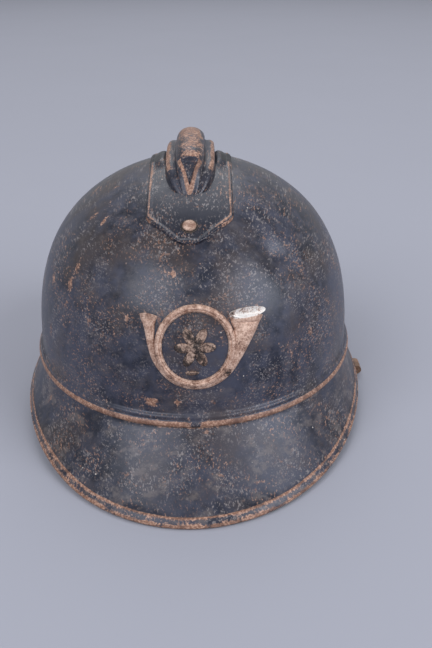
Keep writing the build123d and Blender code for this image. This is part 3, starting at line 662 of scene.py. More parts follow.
def brim_section(turn, reach):
    """A brim's closed outline at a turn, as radius, height and rubbing, from under its collar round its hem."""
    sizes = shell()
    half = sizes.steel / 2 + sizes.hem_rise
    collar = sizes.bowl_half_width + sizes.skirt_out - sizes.steel - 0.1 * MM
    rho = oval_reach(sizes.brim_half_width, reach, turn)
    lift = sizes.side_lift * abs(rho * math.sin(turn) / sizes.brim_half_width) ** 4
    bend = Vector((oval_reach(collar, collar * oval(), turn), sizes.bowl_base - sizes.skirt_height - 0.1 * MM))
    rim = Vector((rho, half + lift))
    down = (rim - bend).normalized()
    out = Vector((-down.y, down.x))
    span = (rim - bend).length
    inner = oval_reach(collar - sizes.steel, (collar - sizes.steel) * oval(), turn)
    top = sizes.bowl_base - 2.4 * MM
    fold = span - sizes.hem_width

    def slope(along, proud):
        hollow = sizes.slope_sag * (1 - (2 * min(along, fold) / fold - 1) ** 2)
        return bend + down * along + out * (proud - hollow)

    points = [(inner, top, 0), (bend.x, top, 0), (bend.x, bend.y + 0.6 * MM, 0.62)]
    for index in range(1, 17):
        along = 0.6 * MM + (fold - 1.2 * MM) * index / 16
        points.append((*slope(along, 0), 0.30 * smooth(along, fold - 4 * MM, fold) + 0.50 * smooth(along, 1.6 * MM, 0)))
    for along, proud, rubbed in HEM_ABOVE:
        points.append((*(bend + down * (fold + along * MM) + out * (proud * MM)), rubbed))
    for index in range(9):
        angle = math.pi * (0.5 - index / 8)
        points.append((*(rim - down * half + (out * math.sin(angle) + down * math.cos(angle)) * half), 0.61))
    for along, proud in HEM_BELOW:
        points.append((*(bend + down * (fold + along * MM) + out * (proud * MM)), 0.35))
    for index in range(15, 0, -1):
        along = 0.8 * MM + (fold - 1.6 * MM) * index / 16
        points.append((*slope(along, -sizes.steel), 0.04))
    points.append((inner, bend.y - 0.2 * MM, 0))
    points.append((inner, top, 0))
    return points


def brim(name, start, end, reach_at, columns, seed):
    """A brim swept round between two turns."""
    turns = [start + (end - start) * index / columns for index in range(columns + 1)]
    sections = [brim_section(turn, reach_at(turn)) for turn in turns]
    rows = len(sections[0]) - 1

    def place(across, along):
        turn = start + (end - start) * across
        radius, height, _ = sections[round(across * columns)][round(along * rows)]
        spot = Vector((radius * math.sin(turn), -radius * math.cos(turn), height))
        loose = smooth(radius, shell().bowl_half_width + 4 * MM, shell().bowl_half_width + 22 * MM)
        wave = 0.0004 * grain(spot, 0.040, seed) + 0.00015 * grain(spot, 0.009, seed + 2)
        spot.z = max(0.0001, spot.z + wave * loose)
        return spot

    made = sheet(name, columns, rows, place)
    width = columns + 1
    values = []
    for index, point in enumerate(made.data.vertices):
        rubbed = sections[index % width][index // width][2]
        front = smooth(-point.co.y, 0.02, 0.12)
        blotch = 0.14 * max(0, grain(point.co, 0.018, seed + 4))
        blotch += 0.08 * front * smooth(grain(point.co, 0.05, seed), 0, 0.6)
        values.append(rubbed * (0.82 + 0.16 * front + 0.22 * grain(point.co, 0.012, seed + 6)) + blotch)
    mark_values(made, values)
    close_seams(made, caps=True)
    return made


class HELMET_OT_brims(bpy.types.Operator):
    """Sweep the visor and the neck guard, each with its folded hem"""

    bl_idname = "helmet.brims"
    bl_label = "Visor and neck guard"

    def execute(self, context):
        sizes = shell()
        # Less haze on the brims paints them darker than the bowl, partly as painted shade.
        paint = worn_paint("Brim paint", 0.65, 0.8)
        visor_end, guard_start = math.radians(VISOR_END), math.radians(GUARD_START)

        def reach(turn):
            return sizes.visor_reach if abs(turn) <= math.radians(90) else sizes.guard_reach

        visor = brim("visor_steel", -visor_end, visor_end, reach, VISOR_COLUMNS, 11.0)
        finish(visor, "helmet", "shell_paint", paint, "visor")
        guard = brim("guard_steel", guard_start, 2 * math.pi - guard_start, reach, GUARD_COLUMNS, 21.0)
        finish(guard, "helmet", "shell_paint", paint, "neck_guard")
        return {"FINISHED"}


# Comb
FLANGE_COLUMNS, FLANGE_ROWS, CREST_ROWS = 92, 300, 120
# Distances square to the flange's slanting ends are this share of those straight across it.
SQUARE_TO_SLANT = 0.74
FLANGE_KNOCK = (0.016, -0.066, 0.131)


def flange_slant():
    sizes = comb()
    return math.atan2(sizes.flange_half_width, sizes.flange_tip - sizes.flange_corner)


def flange_half(y):
    """Half the flange's width at a place along it, with its corners and tips rounded."""
    sizes = comb()

    def sharp(y):
        tip = sizes.flange_tip
        line = sizes.flange_half_width * (tip - y) / (tip - sizes.flange_corner)
        return min(sizes.flange_half_width, line)

    y = abs(y)
    soft = sum(sharp(y + shift * MM) for shift in (-3, -2, -1, 0, 1, 2, 3)) / 7
    round_middle = sizes.flange_tip - sizes.tip_round / math.sin(flange_slant())
    if y > round_middle + sizes.tip_round * math.sin(flange_slant()):
        soft = min(soft, math.sqrt(max(0, sizes.tip_round**2 - (y - round_middle) ** 2)))
    return soft


def flange_end():
    return comb().flange_tip + comb().tip_round * (1 - 1 / math.sin(flange_slant()))


def flange_edge(x, y):
    """Distance in from the flange's side, in millimetres."""
    edge = (flange_half(y) - abs(x)) / MM
    return edge * SQUARE_TO_SLANT if abs(y) > comb().flange_corner else edge


def flange_lift(x, y):
    """Height of the flange above the bowl: a rolled edge all round and a louvre on each side."""
    edge = min(flange_edge(x, y), (flange_end() - abs(y)) / MM)
    roll = 0.75 * smooth(edge, 3.4, 1.6) * smooth(edge, -0.2, 0.9)
    louvre = smooth(abs(y) / MM, 20, 8) * comb().louvre_rise / MM
    louvre *= smooth(abs(x) / MM, 11.5, 15.5) * (1 - 0.62 * smooth(abs(x) / MM, 16, 22.5))
    turned = 0.75 * smooth(edge, 0.8, 0) * (1 - min(1, louvre))
    return (0.85 + roll + louvre - turned) * MM


def flange_wear(place):
    """Rubbing along the flange's edge, and one knock on it."""
    edge = flange_edge(place.x, place.y)
    side = 1.12 if abs(place.y) < comb().flange_corner + 2 * MM else 0.66
    rubbed = side * (0.60 * smooth(edge, 2.6, 1.7) * smooth(edge, 0.5, 1.1) + 0.50 * smooth(edge, 0.5, 0))
    knock = 0.45 * math.exp(-((place - Vector(FLANGE_KNOCK)).length / (5 * MM)) ** 2)
    return rubbed * (1 + 0.4 * grain(place, 0.007, 4.0)) + knock


def louvre_shade(place):
    """The shadow inside the ends of the louvres."""
    ahead, aside = abs(place.y) / MM, abs(place.x) / MM
    return smooth(aside, 16.5, 18.0) * smooth(ahead, 10.5, 8.5)


def crest_full(y):
    """How much of its full height the crest has at a place along it."""
    return (1 - min(1, abs(y) / comb().crest_half_length) ** 7) ** 1.8


def crest_section(y):
    """The crest's outline at a place along it, as across, height above the table and rubbing."""
    sizes = comb()
    share = min(1, abs(y) / sizes.crest_half_length)
    full, slim = crest_full(y), (1 - share**4) ** 0.5
    dome = crown_height(0, y)
    top_half = max(0.9 * MM * (1 - share), sizes.crest_half_width * slim)
    foot_half = max(1.6 * MM * (1 - share), sizes.step_half_width * slim)
    top, shelf = dome + sizes.crest_rise * full, dome + sizes.step_rise * full
    cap = min(top_half, (top - shelf) * 0.8)
    corner = min(2.6 * MM, (foot_half - top_half) * 0.75)
    root = min(dome, crown_height(foot_half, y)) - 0.2 * MM
    right = [(foot_half * 1.06, root, 0), (foot_half * 1.01, root + (shelf - root) * 0.3, 0.02)]
    right.append((foot_half, root + (shelf - root) * 0.7, 0.08))
    for index in range(5):
        angle = math.pi / 8 * index
        right.append((
            foot_half - corner + corner * math.cos(angle), shelf - corner + corner * math.sin(angle),
            0.64 if index in (1, 2, 3) else 0.42,
        ))
    neck = top_half + 0.25 * (foot_half - corner - top_half)
    right += [(neck, shelf + 0.02 * MM, 0), (top_half + 0.3 * MM * full, shelf + 0.5 * MM * full, 0)]
    for index in range(3):
        right.append((top_half, shelf + (top - cap - shelf) * (0.25 + 0.25 * index), 0.10))
    for index in range(14):
        angle = math.pi / 2 * index / 14
        right.append((top_half * math.cos(angle), top - cap + cap * math.sin(angle), 0.2 + 0.4 * math.sin(angle)))
    middle = (0, top, 0.6)
    return [(-across, height, rubbed) for across, height, rubbed in right] + [middle] + right[::-1]


def crest_place(y, across, height, rubbed):
    """A crest point with the hollow pressed into its nose, between two rubbed edges that meet below it."""
    rise = max(0.6 * MM, comb().crest_rise * crest_full(y))
    high = smooth((height - crown_height(0, y)) / rise, 0.56, 0.82)
    ahead, aside = -y / MM, abs(across) / MM
    # The hollow narrows from 5.6 mm to its point, 47.5 mm ahead of the middle.
    edge = 5.6 * (47.5 - ahead) / 13
    along = smooth(ahead, 33.4, 35.4) * smooth(ahead, 46.5, 43.5)
    hollow = along * high * smooth(aside, edge, edge - 2.2)
    rim = smooth(ahead, 33.0, 34.2) * smooth(ahead, 48.4, 47.0) * high
    rim *= smooth(aside, edge - 1.7, edge - 0.5) * smooth(aside, edge + 1.9, edge + 0.5)
    sunk = 1.9 * hollow - 0.30 * rim
    spot = Vector((across, y + sunk * 0.75 * MM, height - sunk * 0.66 * MM))
    front = smooth(ahead, 32.5, 34.5)
    return spot, min(1, max(0, rubbed * (1 - 0.75 * front) + 0.80 * rim - 0.4 * hollow))


class HELMET_OT_comb(bpy.types.Operator):
    """Shape the comb: its flange over the crown, its louvres and its hollow crest"""

    bl_idname = "helmet.comb"
    bl_label = "Comb"

    def execute(self, context):
        end = flange_end()

        def flange_place(across, along):
            y = -end + 2 * end * along
            x = (2 * across - 1) * flange_half(y)
            return on_crown(x, y, flange_lift(x, y))

        flange = sheet("comb_flange", FLANGE_COLUMNS, FLANGE_ROWS, flange_place)
        close_seams(flange)
        face_from(flange, Vector((0, 0, 0)))
        thicken(flange, shell().steel)
        mark_wear(flange, flange_wear)
        # The louvres' ends are marked dark for painted shadow.
        mark_wear(flange, louvre_shade, "dark")
        # Little haze on the comb paints it darker than the bowl, partly as painted shade.
        finish(flange, "helmet", "shell_paint", worn_paint("Comb paint", 0.05, 0.1), "comb")
        half = comb().crest_half_length
        stations = [half * math.sin(math.pi / 2 * (2 * index / CREST_ROWS - 1)) for index in range(CREST_ROWS + 1)]
        sections = [[crest_place(y, *point) for point in crest_section(y)] for y in stations]
        points = len(sections[0])

        def ridge_place(across, along):
            spot = sections[round(along * CREST_ROWS)][round(across * (points - 1))][0]
            return spot + Vector((0, 0, 0.00012 * grain(spot, 0.016, 2.0)))

        crest = sheet("comb_crest", points - 1, CREST_ROWS, ridge_place)
        mark_values(crest, [
            sections[index // points][index % points][1] * (1 + 0.35 * grain(point.co, 0.010, 6.0))
            for index, point in enumerate(crest.data.vertices)
        ])
        close_seams(crest)
        finish(crest, "helmet", "shell_paint", worn_paint("Crest paint", 0.05, 0.5), angle=60)
        return {"FINISHED"}


# Rivets
# A rivet head's profile from its top, as shares of its radius and its rise.
RIVET = (
    (0, 1.0), (0.25, 0.97), (0.5, 0.86), (0.68, 0.68), (0.78, 0.45), (0.82, 0.2), (0.84, 0.12), (0.93, 0.16),
    (1.0, 0.05), (1.02, -0.2),
)


def rivet_head(name, middle, normal, radius, rise):
    """A domed head standing on a thin washer ridge."""
    turn = Vector((0, 0, 1)).rotation_difference(normal).to_matrix()

    def place(across, along):
        reach, height = RIVET[round(along * (len(RIVET) - 1))]
        angle = 2 * math.pi * across
        spot = Vector((radius * reach * math.cos(angle), radius * reach * math.sin(angle), rise * height))
        spot.z += 0.05 * rise * grain(spot, 0.0016, 7.0) * (1 - reach)
        return middle + turn @ spot

    head = sheet(name, 40, len(RIVET) - 1, place)
    close_seams(head, caps=True)
    mark_wear(head, lambda place: 0.65 if (place - middle).dot(normal) > 0.25 * rise else 0.35)
    # Darker all over, and more so from the head's shoulder out across its groove and washer ridge.
    mark_wear(head, lambda place: 0.22 + 0.5 * smooth((place - middle).length / radius, 0.74, 0.84), "dark")
    return head


class HELMET_OT_rivets(bpy.types.Operator):
    """Set the comb's two rivets and the two side rivets"""

    bl_idname = "helmet.rivets"
    bl_label = "Rivets"

    def execute(self, context):
        metal = rubbed_metal("Rivet metal", 0.45)
        heads = []
        for side in (-1, 1):
            seat = on_crown(0, side * comb().rivet_place, 0.85 * MM)
            normal = (on_crown(0, side * comb().rivet_place, 2 * MM) - seat).normalized()
            heads.append(rivet_head("comb_head", seat, normal, comb().rivet_head, 1.7 * MM))
        finish(join("comb_rivet_heads", heads), "helmet", "rivets", metal, "comb_rivets")
        low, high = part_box("side_rivets")
        heads = []
        for side in (-1, 1):
            normal = Vector((side * 0.951, 0, 0.309))
            middle = (low + high) / 2
            outer = Vector((side * max(abs(low.x), abs(high.x)), middle.y, middle.z + 0.6 * MM))
            heads.append(rivet_head("side_head", outer - normal * 1.0 * MM, normal, 2.3 * MM, 1.0 * MM))
        finish(join("side_rivet_heads", heads), "helmet", "rivets", metal, "side_rivets")
        return {"FINISHED"}


# Badge
# The horn's middle line from its mouthpiece round to its bell: across, up and half width, in millimetres.
HORN = (
    (-23.1, 14.6, 4.4), (-23.1, 13.1, 4.1), (-22.9, 10.7, 3.2), (-22.6, 7.5, 2.5), (-22.1, 1.2, 1.9),
    (-20.3, -5.3, 1.8), (-17.1, -10.5, 2.0), (-11.8, -15.6, 2.2), (-4.8, -18.6, 2.4), (2.9, -19.0, 2.6),
    (9.8, -16.8, 2.9), (15.7, -12.2, 3.2), (19.9, -5.7, 3.6), (23.2, 1.4, 4.5), (24.9, 6.6, 5.9),
    (25.5, 10.6, 7.7), (25.8, 12.8, 8.6),
)
BELL, BELL_HALVES = (25.8, 14.4), (8.7, 2.3)
MOUTHPIECE = (-23.1, 14.6)
ROSETTE_ROOM = 14.5
# Sections of the raised parts from the foot inwards: share of the half width, and height.
BELL_RIM = ((1, 3.15), (0.97, 3.35), (0.9, 3.3), (0.82, 3.05), (0.6, 2.6), (0.3, 2.4), (0.0, 2.35))
PETAL = ((1, 0.4), (0.97, 0.95), (0.85, 1.3), (0.6, 1.38), (0.35, 1.12), (0.0, 0.98))
TWIST = ((1, 0.4), (0.9, 1.0), (0.6, 1.35), (0.0, 1.4))
EYE = ((1, 0.4), (0.95, 1.3), (0.75, 1.7), (0.45, 1.85), (0.0, 1.9))


def along_horn(share):
    """A smooth place on the horn's middle line, with its half width and its direction."""

    def spot(index):
        return Vector(HORN[min(len(HORN) - 1, max(0, index))])

    def at(share):
        step = min(len(HORN) - 1.0001, max(0, share * (len(HORN) - 1)))
        index, part = int(step), step - int(step)
        before, start, end, after = (spot(index + shift) for shift in (-1, 0, 1, 2))
        return 0.5 * (
            2 * start + (end - before) * part + (2 * before - 5 * start + 4 * end - after) * part**2
            + (3 * start - before - 3 * end + after) * part**3
        )

    ahead = at(min(1, share + 0.004)) - at(max(0, share - 0.004))
    return at(share), Vector((ahead.x, ahead.y)).normalized()


def badge_spot(across, up, out):
    """A place on the badge, from its middle, in millimetres."""
    sizes = badge()
    return on_front(sizes.middle_x + across * MM, sizes.middle_z + up * MM, out * MM)


def groove(share, where, width, depth):
    return depth * math.exp(-(((share - where) / width) ** 2))


def boss(name, columns, middle, halves, section, turned=0.0):
    """An oval boss on the badge, turned about the badge's middle."""

    def place(across, along):
        turn = 2 * math.pi * across
        share, height = section[round(along * (len(section) - 1))]
        x = halves[0] * share * math.cos(turn) + middle[0]
        z = halves[1] * share * math.sin(turn) + middle[1]
        right = x * math.cos(turned) - z * math.sin(turned)
        return badge_spot(right, x * math.sin(turned) + z * math.cos(turned), height)

    return sheet(name, columns, len(section) - 1, place)


class HELMET_OT_badge(bpy.types.Operator):
    """Stamp the horn badge: its disc, curled tube, horn, bell and rosette"""

    bl_idname = "helmet.badge"
    bl_label = "Badge"

    def execute(self, context):
        sizes = badge()
        ring, tube, relief = sizes.ring_radius / MM, sizes.tube / MM, sizes.relief / MM

        def horn_place(across, along):
            here, ahead = along_horn(along)
            side = Vector((ahead.y, -ahead.x))
            reach = 2 * across - 1
            body = math.sqrt(max(0, 1 - abs(reach) ** 2.6))
            flare = 0.55 * smooth(along, 0.90, 1.0) + 0.6 * smooth(along, 0.06, 0.0)
            height = 0.05 + (relief - 0.2) * (0.55 + 0.45 * smooth(here.z, 1.8, 5.0)) * body + flare * body
            grooves = groove(along, 0.925, 0.006, 0.28) + groove(along, 0.075, 0.006, 0.25)
            bow = 0.9 * (1 - reach**2) * (smooth(along, 0.93, 1.0) - smooth(along, 0.05, 0.0))
            spot = Vector((here.x, here.y)) + side * here.z * reach + ahead * bow
            return badge_spot(spot.x, spot.y, height - grooves * body)

        def ring_place(across, along):
            turn = 2 * math.pi * across
            reach = 2 * along - 1
            body = math.sqrt(max(0, 1 - abs(reach) ** 2.4))
            height = 0.1 + (relief + 0.25) * 0.86 * body - groove(reach, -0.42, 0.13, 0.62)
            radius = ring + tube * 0.86 * reach
            return badge_spot(radius * math.sin(turn), radius * math.cos(turn), height)

        def bell_place(across, along):
            turn = 2 * math.pi * across
            share, height = BELL_RIM[round(along * 6)]
            x = BELL[0] + BELL_HALVES[0] * share * math.cos(turn)
            z = BELL[1] + BELL_HALVES[1] * share * math.sin(turn) - 0.03 * (x - BELL[0])
            return badge_spot(x, z, height * (0.92 + 0.08 * math.sin(turn)) if along else 0.05)

        parts = []
        for name, columns, rows, place in (
            ("horn", 28, 230, horn_place), ("ring", 200, 30, ring_place), ("bell", 72, 6, bell_place)
        ):
            parts.append(sheet(name, columns, rows, place))
            close_seams(parts[-1])
        for index in range(6):
            parts.append(boss("petal", 32, (5.95, 0), (4.5, 2.45), PETAL, math.radians(60 * index)))
        parts.append(boss("twist", 32, (-1.6, -12.6), (3.4, 1.2), TWIST))
        parts.append(boss("eye", 32, (0, 0), (2.7, 2.7), EYE))
        whole = join("badge_relief", parts)
        close_seams(whole)
        middle, mouth, lip = badge_spot(0, 0, 1), badge_spot(*BELL, 3), badge_spot(*MOUTHPIECE, 2)

        def beyond(place, start):
            return (place - start).length / MM

        def wear(place):
            low = 0.13 if beyond(place, middle) < ROSETTE_ROOM else 0.0
            return 0.62 - low + 0.12 * grain(place, 0.006, 3.0)

        def pale(place):
            bell = 0.57 * smooth(abs(place.z - mouth.z) / MM, 3.2, 2.2) * smooth(beyond(place, mouth), 12, 10)
            return max(bell, 0.20 * smooth(beyond(place, lip), 6, 2))

        mark_wear(whole, wear)
        mark_wear(whole, lambda place: 0.38 if beyond(place, middle) < ROSETTE_ROOM else 0, "dark")
        mark_wear(whole, pale, "pale")
        finish(whole, "helmet", "badge_metal", rubbed_metal("Badge metal", 0.5), "badge", angle=50)

        def disc_place(across, along):
            turn = 2 * math.pi * across
            radius = (ring - 0.6) * (1 - along)
            height = 0.55 + 0.05 * grain((radius, turn, 0), 3.0)
            return badge_spot(radius * math.sin(turn), radius * math.cos(turn), height)

        disc = sheet("badge_disc", 96, 14, disc_place)
        close_seams(disc)
        face_from(disc, Vector((0, 0, 0.07)))
        thicken(disc, 0.4 * MM)
        mark_wear(disc, lambda place: 0.06 + 0.14 * smooth(beyond(place, middle), 13, 16.5))
        finish(disc, "helmet", "badge_metal", worn_paint("Disc paint"))
        return {"FINISHED"}


# Liner
def liner_place(turn, share):
    """A place on the leather crown from its foot (0) to its drawn opening (1), and its radius on the round layout."""
    sizes = liner()
    half, rise = shell().bowl_half_width - sizes.inset, sizes.rise
    start = turn_where(sizes.foot / rise, HEIGHT_PULLS)
    end = turn_where(sizes.opening / half, REACH_PULLS)
    where = start + (end - start) * share
    radius = half * profile_share(where, REACH_PULLS)
    height = shell().bowl_base + rise * profile_share(where, HEIGHT_PULLS)
    return round_oval(turn, radius, height), radius


def gap_half(radius):
    """Half the gap between two tongues at a radius of the round layout."""
    return max(0, 4.5 * MM * (70 * MM - radius) / (58 * MM))


class HELMET_OT_liner_leather(bpy.types.Operator):
    """Shape the leather crown of seven tongues"""

    bl_idname = "helmet.liner_leather"
    bl_label = "Liner leather"

    def execute(self, context):
        tongues = []
        for index in range(TONGUES):

            def place(across, along, index=index):
                _, radius = liner_place(0, along)
                middle = 2 * math.pi * index / TONGUES
                reach = 2 * across - 1
                spread = math.pi / TONGUES - gap_half(radius) / radius
                tip = 0.055 * abs(reach) ** 3 * smooth(along, 0.8, 1)
                spot, _ = liner_place(middle + reach * spread, along * (1 - tip))
                free = smooth(along, 0.35, 1)
                spot.z += MM * free * (0.5 * grain(spot, 0.016, 31.0) - 0.35 * reach**2)
                crease = 0.00025 * grain(spot, 0.006, 5.0) * free
                return spot - Vector((spot.x, spot.y, 0)).normalized() * abs(crease)

            tongues.append(sheet("tongue", 26, 74, place))
        leather = join("liner_leather", tongues)
        close_seams(leather)
        face_from(leather, Vector((0, 0, 0.02)))
        thicken(leather, liner().leather)
        finish(leather, "helmet", "liner_leather", old_leather("Liner leather", colours().leather), "liner_crown")
        return {"FINISHED"}


class HELMET_OT_felt(bpy.types.Operator):
    """Bend the felt band that lies behind the leather"""

    bl_idname = "helmet.felt"
    bl_label = "Felt band"

    def execute(self, context):
        sizes = liner()
        rows = (0, 0.02, 0.06, 0.2, 0.4, 0.6, 0.8, 0.94, 0.98, 1)  # closer together at its edges
        outer = sizes.inset - 0.2 * MM - sizes.felt

        def place(across, along):
            height = shell().bowl_base + sizes.foot + sizes.felt_height * rows[round(along * 9)]
            rise = sizes.rise + sizes.felt + 0.2 * MM
            where = turn_where((height - shell().bowl_base) / rise, HEIGHT_PULLS)
            radius = (shell().bowl_half_width - outer) * profile_share(where, REACH_PULLS)
            spot = round_oval(2 * math.pi * across, radius, height)
            edge = 0.0004 * grain(spot, 0.006, 8.0) * (abs(along - 0.5) > 0.49)
            return spot + Vector((0, 0, abs(edge)))

        band = sheet("felt_band_wool", 260, 9, place)
        close_seams(band)
        face_from(band, Vector((0, 0, 0.055)))
        thicken(band, sizes.felt)
        finish(band, "helmet", "felt", pressed_felt("Felt", colours().felt), "felt_band")
        return {"FINISHED"}


def tube_along(name, points, radius):
    """A round cord whose smooth line is led by its points."""
    deselect()
    curve = bpy.data.curves.new(name, "CURVE")
    curve.dimensions = "3D"
    curve.bevel_depth = radius
    curve.bevel_resolution = 3
    curve.resolution_u = 6
    curve.use_fill_caps = True
    line = curve.splines.new("NURBS")
    line.points.add(len(points) - 1)
    for point, place in zip(line.points, points):
        point.co = (*place, 1)
    line.order_u = 3
    line.use_endpoint_u = True
    cord = bpy.data.objects.new(name, curve)
    bpy.context.collection.objects.link(cord)
    take(cord)
    bpy.ops.object.convert(target="MESH")
    return bpy.context.object


class HELMET_OT_lace(bpy.types.Operator):
    """Lead the lace through the tongues and tie it"""

    bl_idname = "helmet.lace"
    bl_label = "Crown lace"

    def execute(self, context):
        sizes = liner()
        ring, step = sizes.lace_ring, 2 * math.pi * sizes.lace_ring / TONGUES
        level = sizes.leather / 2 + sizes.lace / 2 + 0.5 * MM
        share = ring / (shell().bowl_half_width - sizes.inset - sizes.leather / 2)
        where = turn_where(share, REACH_PULLS)
        height = shell().bowl_base + (sizes.rise - sizes.leather / 2) * profile_share(where, HEIGHT_PULLS)
        bends = (
            (-step / 2, -level), (-7.4 * MM, -level), (-5.6 * MM, -level), (-4.4 * MM, level), (-2.4 * MM, level),
            (2.4 * MM, level), (4.4 * MM, level), (5.6 * MM, -level), (7.4 * MM, -level),
        )
        points = []
        for index in range(TONGUES):
            for along, lift in bends:
                points.append(round_oval((along + index * step) / ring, ring, height + lift))
        points.append(points[0].copy())
        knot = points[0].copy()
        cords = [tube_along("lace_run", points, sizes.lace / 2)]
        for way in (-1, 1):
            swing = 5 * MM * way
            cords.append(tube_along("lace_end", [
                knot + Vector((-1.0 * MM * way, -1.2 * MM, 0.5 * MM)),
                knot + Vector((swing / 3, 1 * MM, -1 * MM)),
                knot + Vector((swing, 5 * MM, -2 * MM)),
                knot + Vector((swing * 1.6, 10 * MM, -3.6 * MM)),
                knot + Vector((swing * 2, 15 * MM, -4 * MM)),
            ], sizes.lace / 2))
        loop = []
        for index in range(15):
            turn = 2 * math.pi * index / 7
            loop.append(knot + Vector((
                (1.55 * math.cos(turn)) * MM, (1.3 * math.sin(turn)) * MM, (-0.2 + (index - 7) * 0.13) * MM,
            )))
        cords.append(tube_along("lace_knot", loop, sizes.lace * 0.45))
        lace = join("crown_lace_cord", cords)
        finish(lace, "helmet", "lace", twisted_cotton("Lace", colours().lace), "crown_lace", angle=60)
        return {"FINISHED"}


# Strap fittings
# Radii of the rolled strap end and of the hole through it, in millimetres.
STRAP_RADIUS, STRAP_BORE = 3.0, 1.35


class HELMET_OT_strap_end(bpy.types.Operator):
    """Roll the torn strap end round the wearer's left ring"""

    bl_idname = "helmet.strap_end"
    bl_label = "Strap end"

    def execute(self, context):
        low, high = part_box("strap_stub")
        middle_y, half = (low.y + high.y) / 2, (high.y - low.y) / 2
        radius, bore = STRAP_RADIUS * MM, STRAP_BORE * MM
        wall = radius - bore
        centre = Vector((high.x - radius, 0, low.z + radius))
        # The side view from below the roll round to its torn end: across, up and how torn.
        outline = []
        for index in range(33):
            turn = math.radians(-90 + 268 * index / 32)
            outline.append((centre.x + radius * math.cos(turn), centre.z + radius * math.sin(turn), 0))
        torn_end = (
            (1.0, 2 * wall + 0.02 * MM), (0.25, 1.6 * wall), (0.4, 1.05 * wall), (0, 0.6 * wall), (0.5, 0.02 * MM)
        )
        for ahead, up in torn_end:
            outline.append((low.x + ahead * MM, low.z + up, 1))
        outline += [(centre.x - 2 * MM, low.z, 0), (centre.x, low.z, 0)]

        def outer_place(across, along):
            x, z, torn = outline[round(across * (len(outline) - 1))]
            y = middle_y + (2 * along - 1) * half
            spot = Vector((x, y, z))
            spot.x += 0.5 * MM * torn * grain((0, y, 0), 0.0022, 3.0)
            spot.y += 0.22 * MM * grain(spot, 0.003, 5.0) * (abs(2 * along - 1) > 0.9)
            spot.z = max(spot.z, 0.3 * MM)
            return spot

        def bore_place(across, along):
            turn = 2 * math.pi * across
            y = middle_y + (2 * along - 1) * half
            return Vector((centre.x + bore * math.cos(turn), y, centre.z + bore * math.sin(turn)))

        skin = sheet("strap_skin", len(outline) - 1, 26, outer_place)
        roll = join("strap_end_leather", [skin, sheet("strap_bore", 32, 26, bore_place)])
        edit(roll)
        bpy.ops.mesh.remove_doubles(threshold=MERGE)
        for side in (-1, 1):
            bpy.ops.mesh.select_all(action="DESELECT")
            bpy.ops.object.mode_set(mode="OBJECT")
            for edge in roll.data.edges:
                ends = [roll.data.vertices[index].co.y for index in edge.vertices]
                edge.select = all(abs(end - (middle_y + side * half)) < 0.35 * MM for end in ends)
            bpy.ops.object.mode_set(mode="EDIT")
            bpy.ops.mesh.select_mode(type="EDGE")
            bpy.ops.mesh.fill()
        bpy.ops.mesh.select_mode(type="VERT")
        bpy.ops.mesh.select_all(action="SELECT")
        bpy.ops.mesh.normals_make_consistent(inside=False)
        bpy.ops.object.mode_set(mode="OBJECT")
        finish(roll, "stub", "strap_leather", old_leather("Strap leather", colours().strap, 0.6), "strap_stub")
        return {"FINISHED"}


class HELMET_OT_plain_metal(bpy.types.Operator):
    """Give the carried-over metal pieces their finishes"""

    bl_idname = "helmet.plain_metal"
    bl_label = "Brackets, rings, spacers and tabs"

    def execute(self, context):
        finishes = {
            "rusty": dull_metal("Rusty wire", (0.10, 0.075, 0.065), (0.16, 0.075, 0.045), 1.8, 0.4),
            "aluminium": dull_metal("Spacer aluminium", (0.50, 0.50, 0.50), (0.22, 0.21, 0.20), 5.0, 0.9),
            "tin": dull_metal("Tinned steel", (0.30, 0.29, 0.27), (0.13, 0.09, 0.07), 2.5, 0.7),
        }
        for name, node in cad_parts.items():
            kind = "rusty" if "strap_" in name else "aluminium" if "spacer" in name else "tin"
            if not node.hide_render:
                node.data.materials.clear()
                node.data.materials.append(finishes[kind])
        return {"FINISHED"}


# Stage
FLOOR_SIZE = 9.4
SKY, SKY_STRENGTH = (0.95, 0.965, 1, 1), 0.44
# Name, place, size, power and colour of each lamp; all point at the helmet's middle.
LAMPS = (
    ("key", (-1.8, -2.1, 2.5), 2.5, 66, (0.975, 0.985, 1)),
    ("fill", (2.5, -1.5, 1.8), 2.4, 72, (0.95, 0.975, 1)),
    ("back", (0.0, 3.0, 3.6), 3.0, 48, (0.98, 0.99, 1)),
)
LAMP_AIM = (0, 0, 0.08)
# The camera's azimuth, elevation and roll in degrees, what it is aimed at, and how far off it stands.
CAMERA_ANGLES, CAMERA_AIM, CAMERA_DISTANCE = (-0.535, 25.915, 0.417), (0.01393, 0, 0.03748), 0.4997
FOCAL_LENGTH, SENSOR_WIDTH, NEAREST = 43.13, 36, 0.01


def plain_world():
    """Plain light from all round, with the floor's colour behind the floor."""
    world = bpy.data.worlds.new("Studio")
    world.use_nodes = True
    tree = world.node_tree
    plain, seen = tree.nodes["Background"], tree.nodes.new("ShaderNodeBackground")
    for light, shade, strength in ((plain, SKY, SKY_STRENGTH), (seen, (*colours().floor, 1), 1.0)):
        light.inputs[0].default_value, light.inputs[1].default_value = shade, strength
    path, mixer = tree.nodes.new("ShaderNodeLightPath"), tree.nodes.new("ShaderNodeMixShader")
    for index, output in enumerate((path.outputs["Is Camera Ray"], plain.outputs[0], seen.outputs[0])):
        tree.links.new(output, mixer.inputs[index])
    tree.links.new(mixer.outputs[0], tree.nodes["World Output"].inputs[0])
    return world


def camera_matrix():
    azimuth, elevation, roll = (math.radians(value) for value in CAMERA_ANGLES)
    level = math.cos(elevation)
    back = Vector((math.sin(azimuth) * level, -math.cos(azimuth) * level, math.sin(elevation)))
    right = Vector((math.cos(azimuth), math.sin(azimuth), 0))
    up = back.cross(right)
    tilted = math.cos(roll) * right - math.sin(roll) * up
    upright = math.sin(roll) * right + math.cos(roll) * up
    place = Vector(CAMERA_AIM) + back * CAMERA_DISTANCE
    return Matrix.Translation(place) @ Matrix((tilted, upright, back)).transposed().to_4x4()


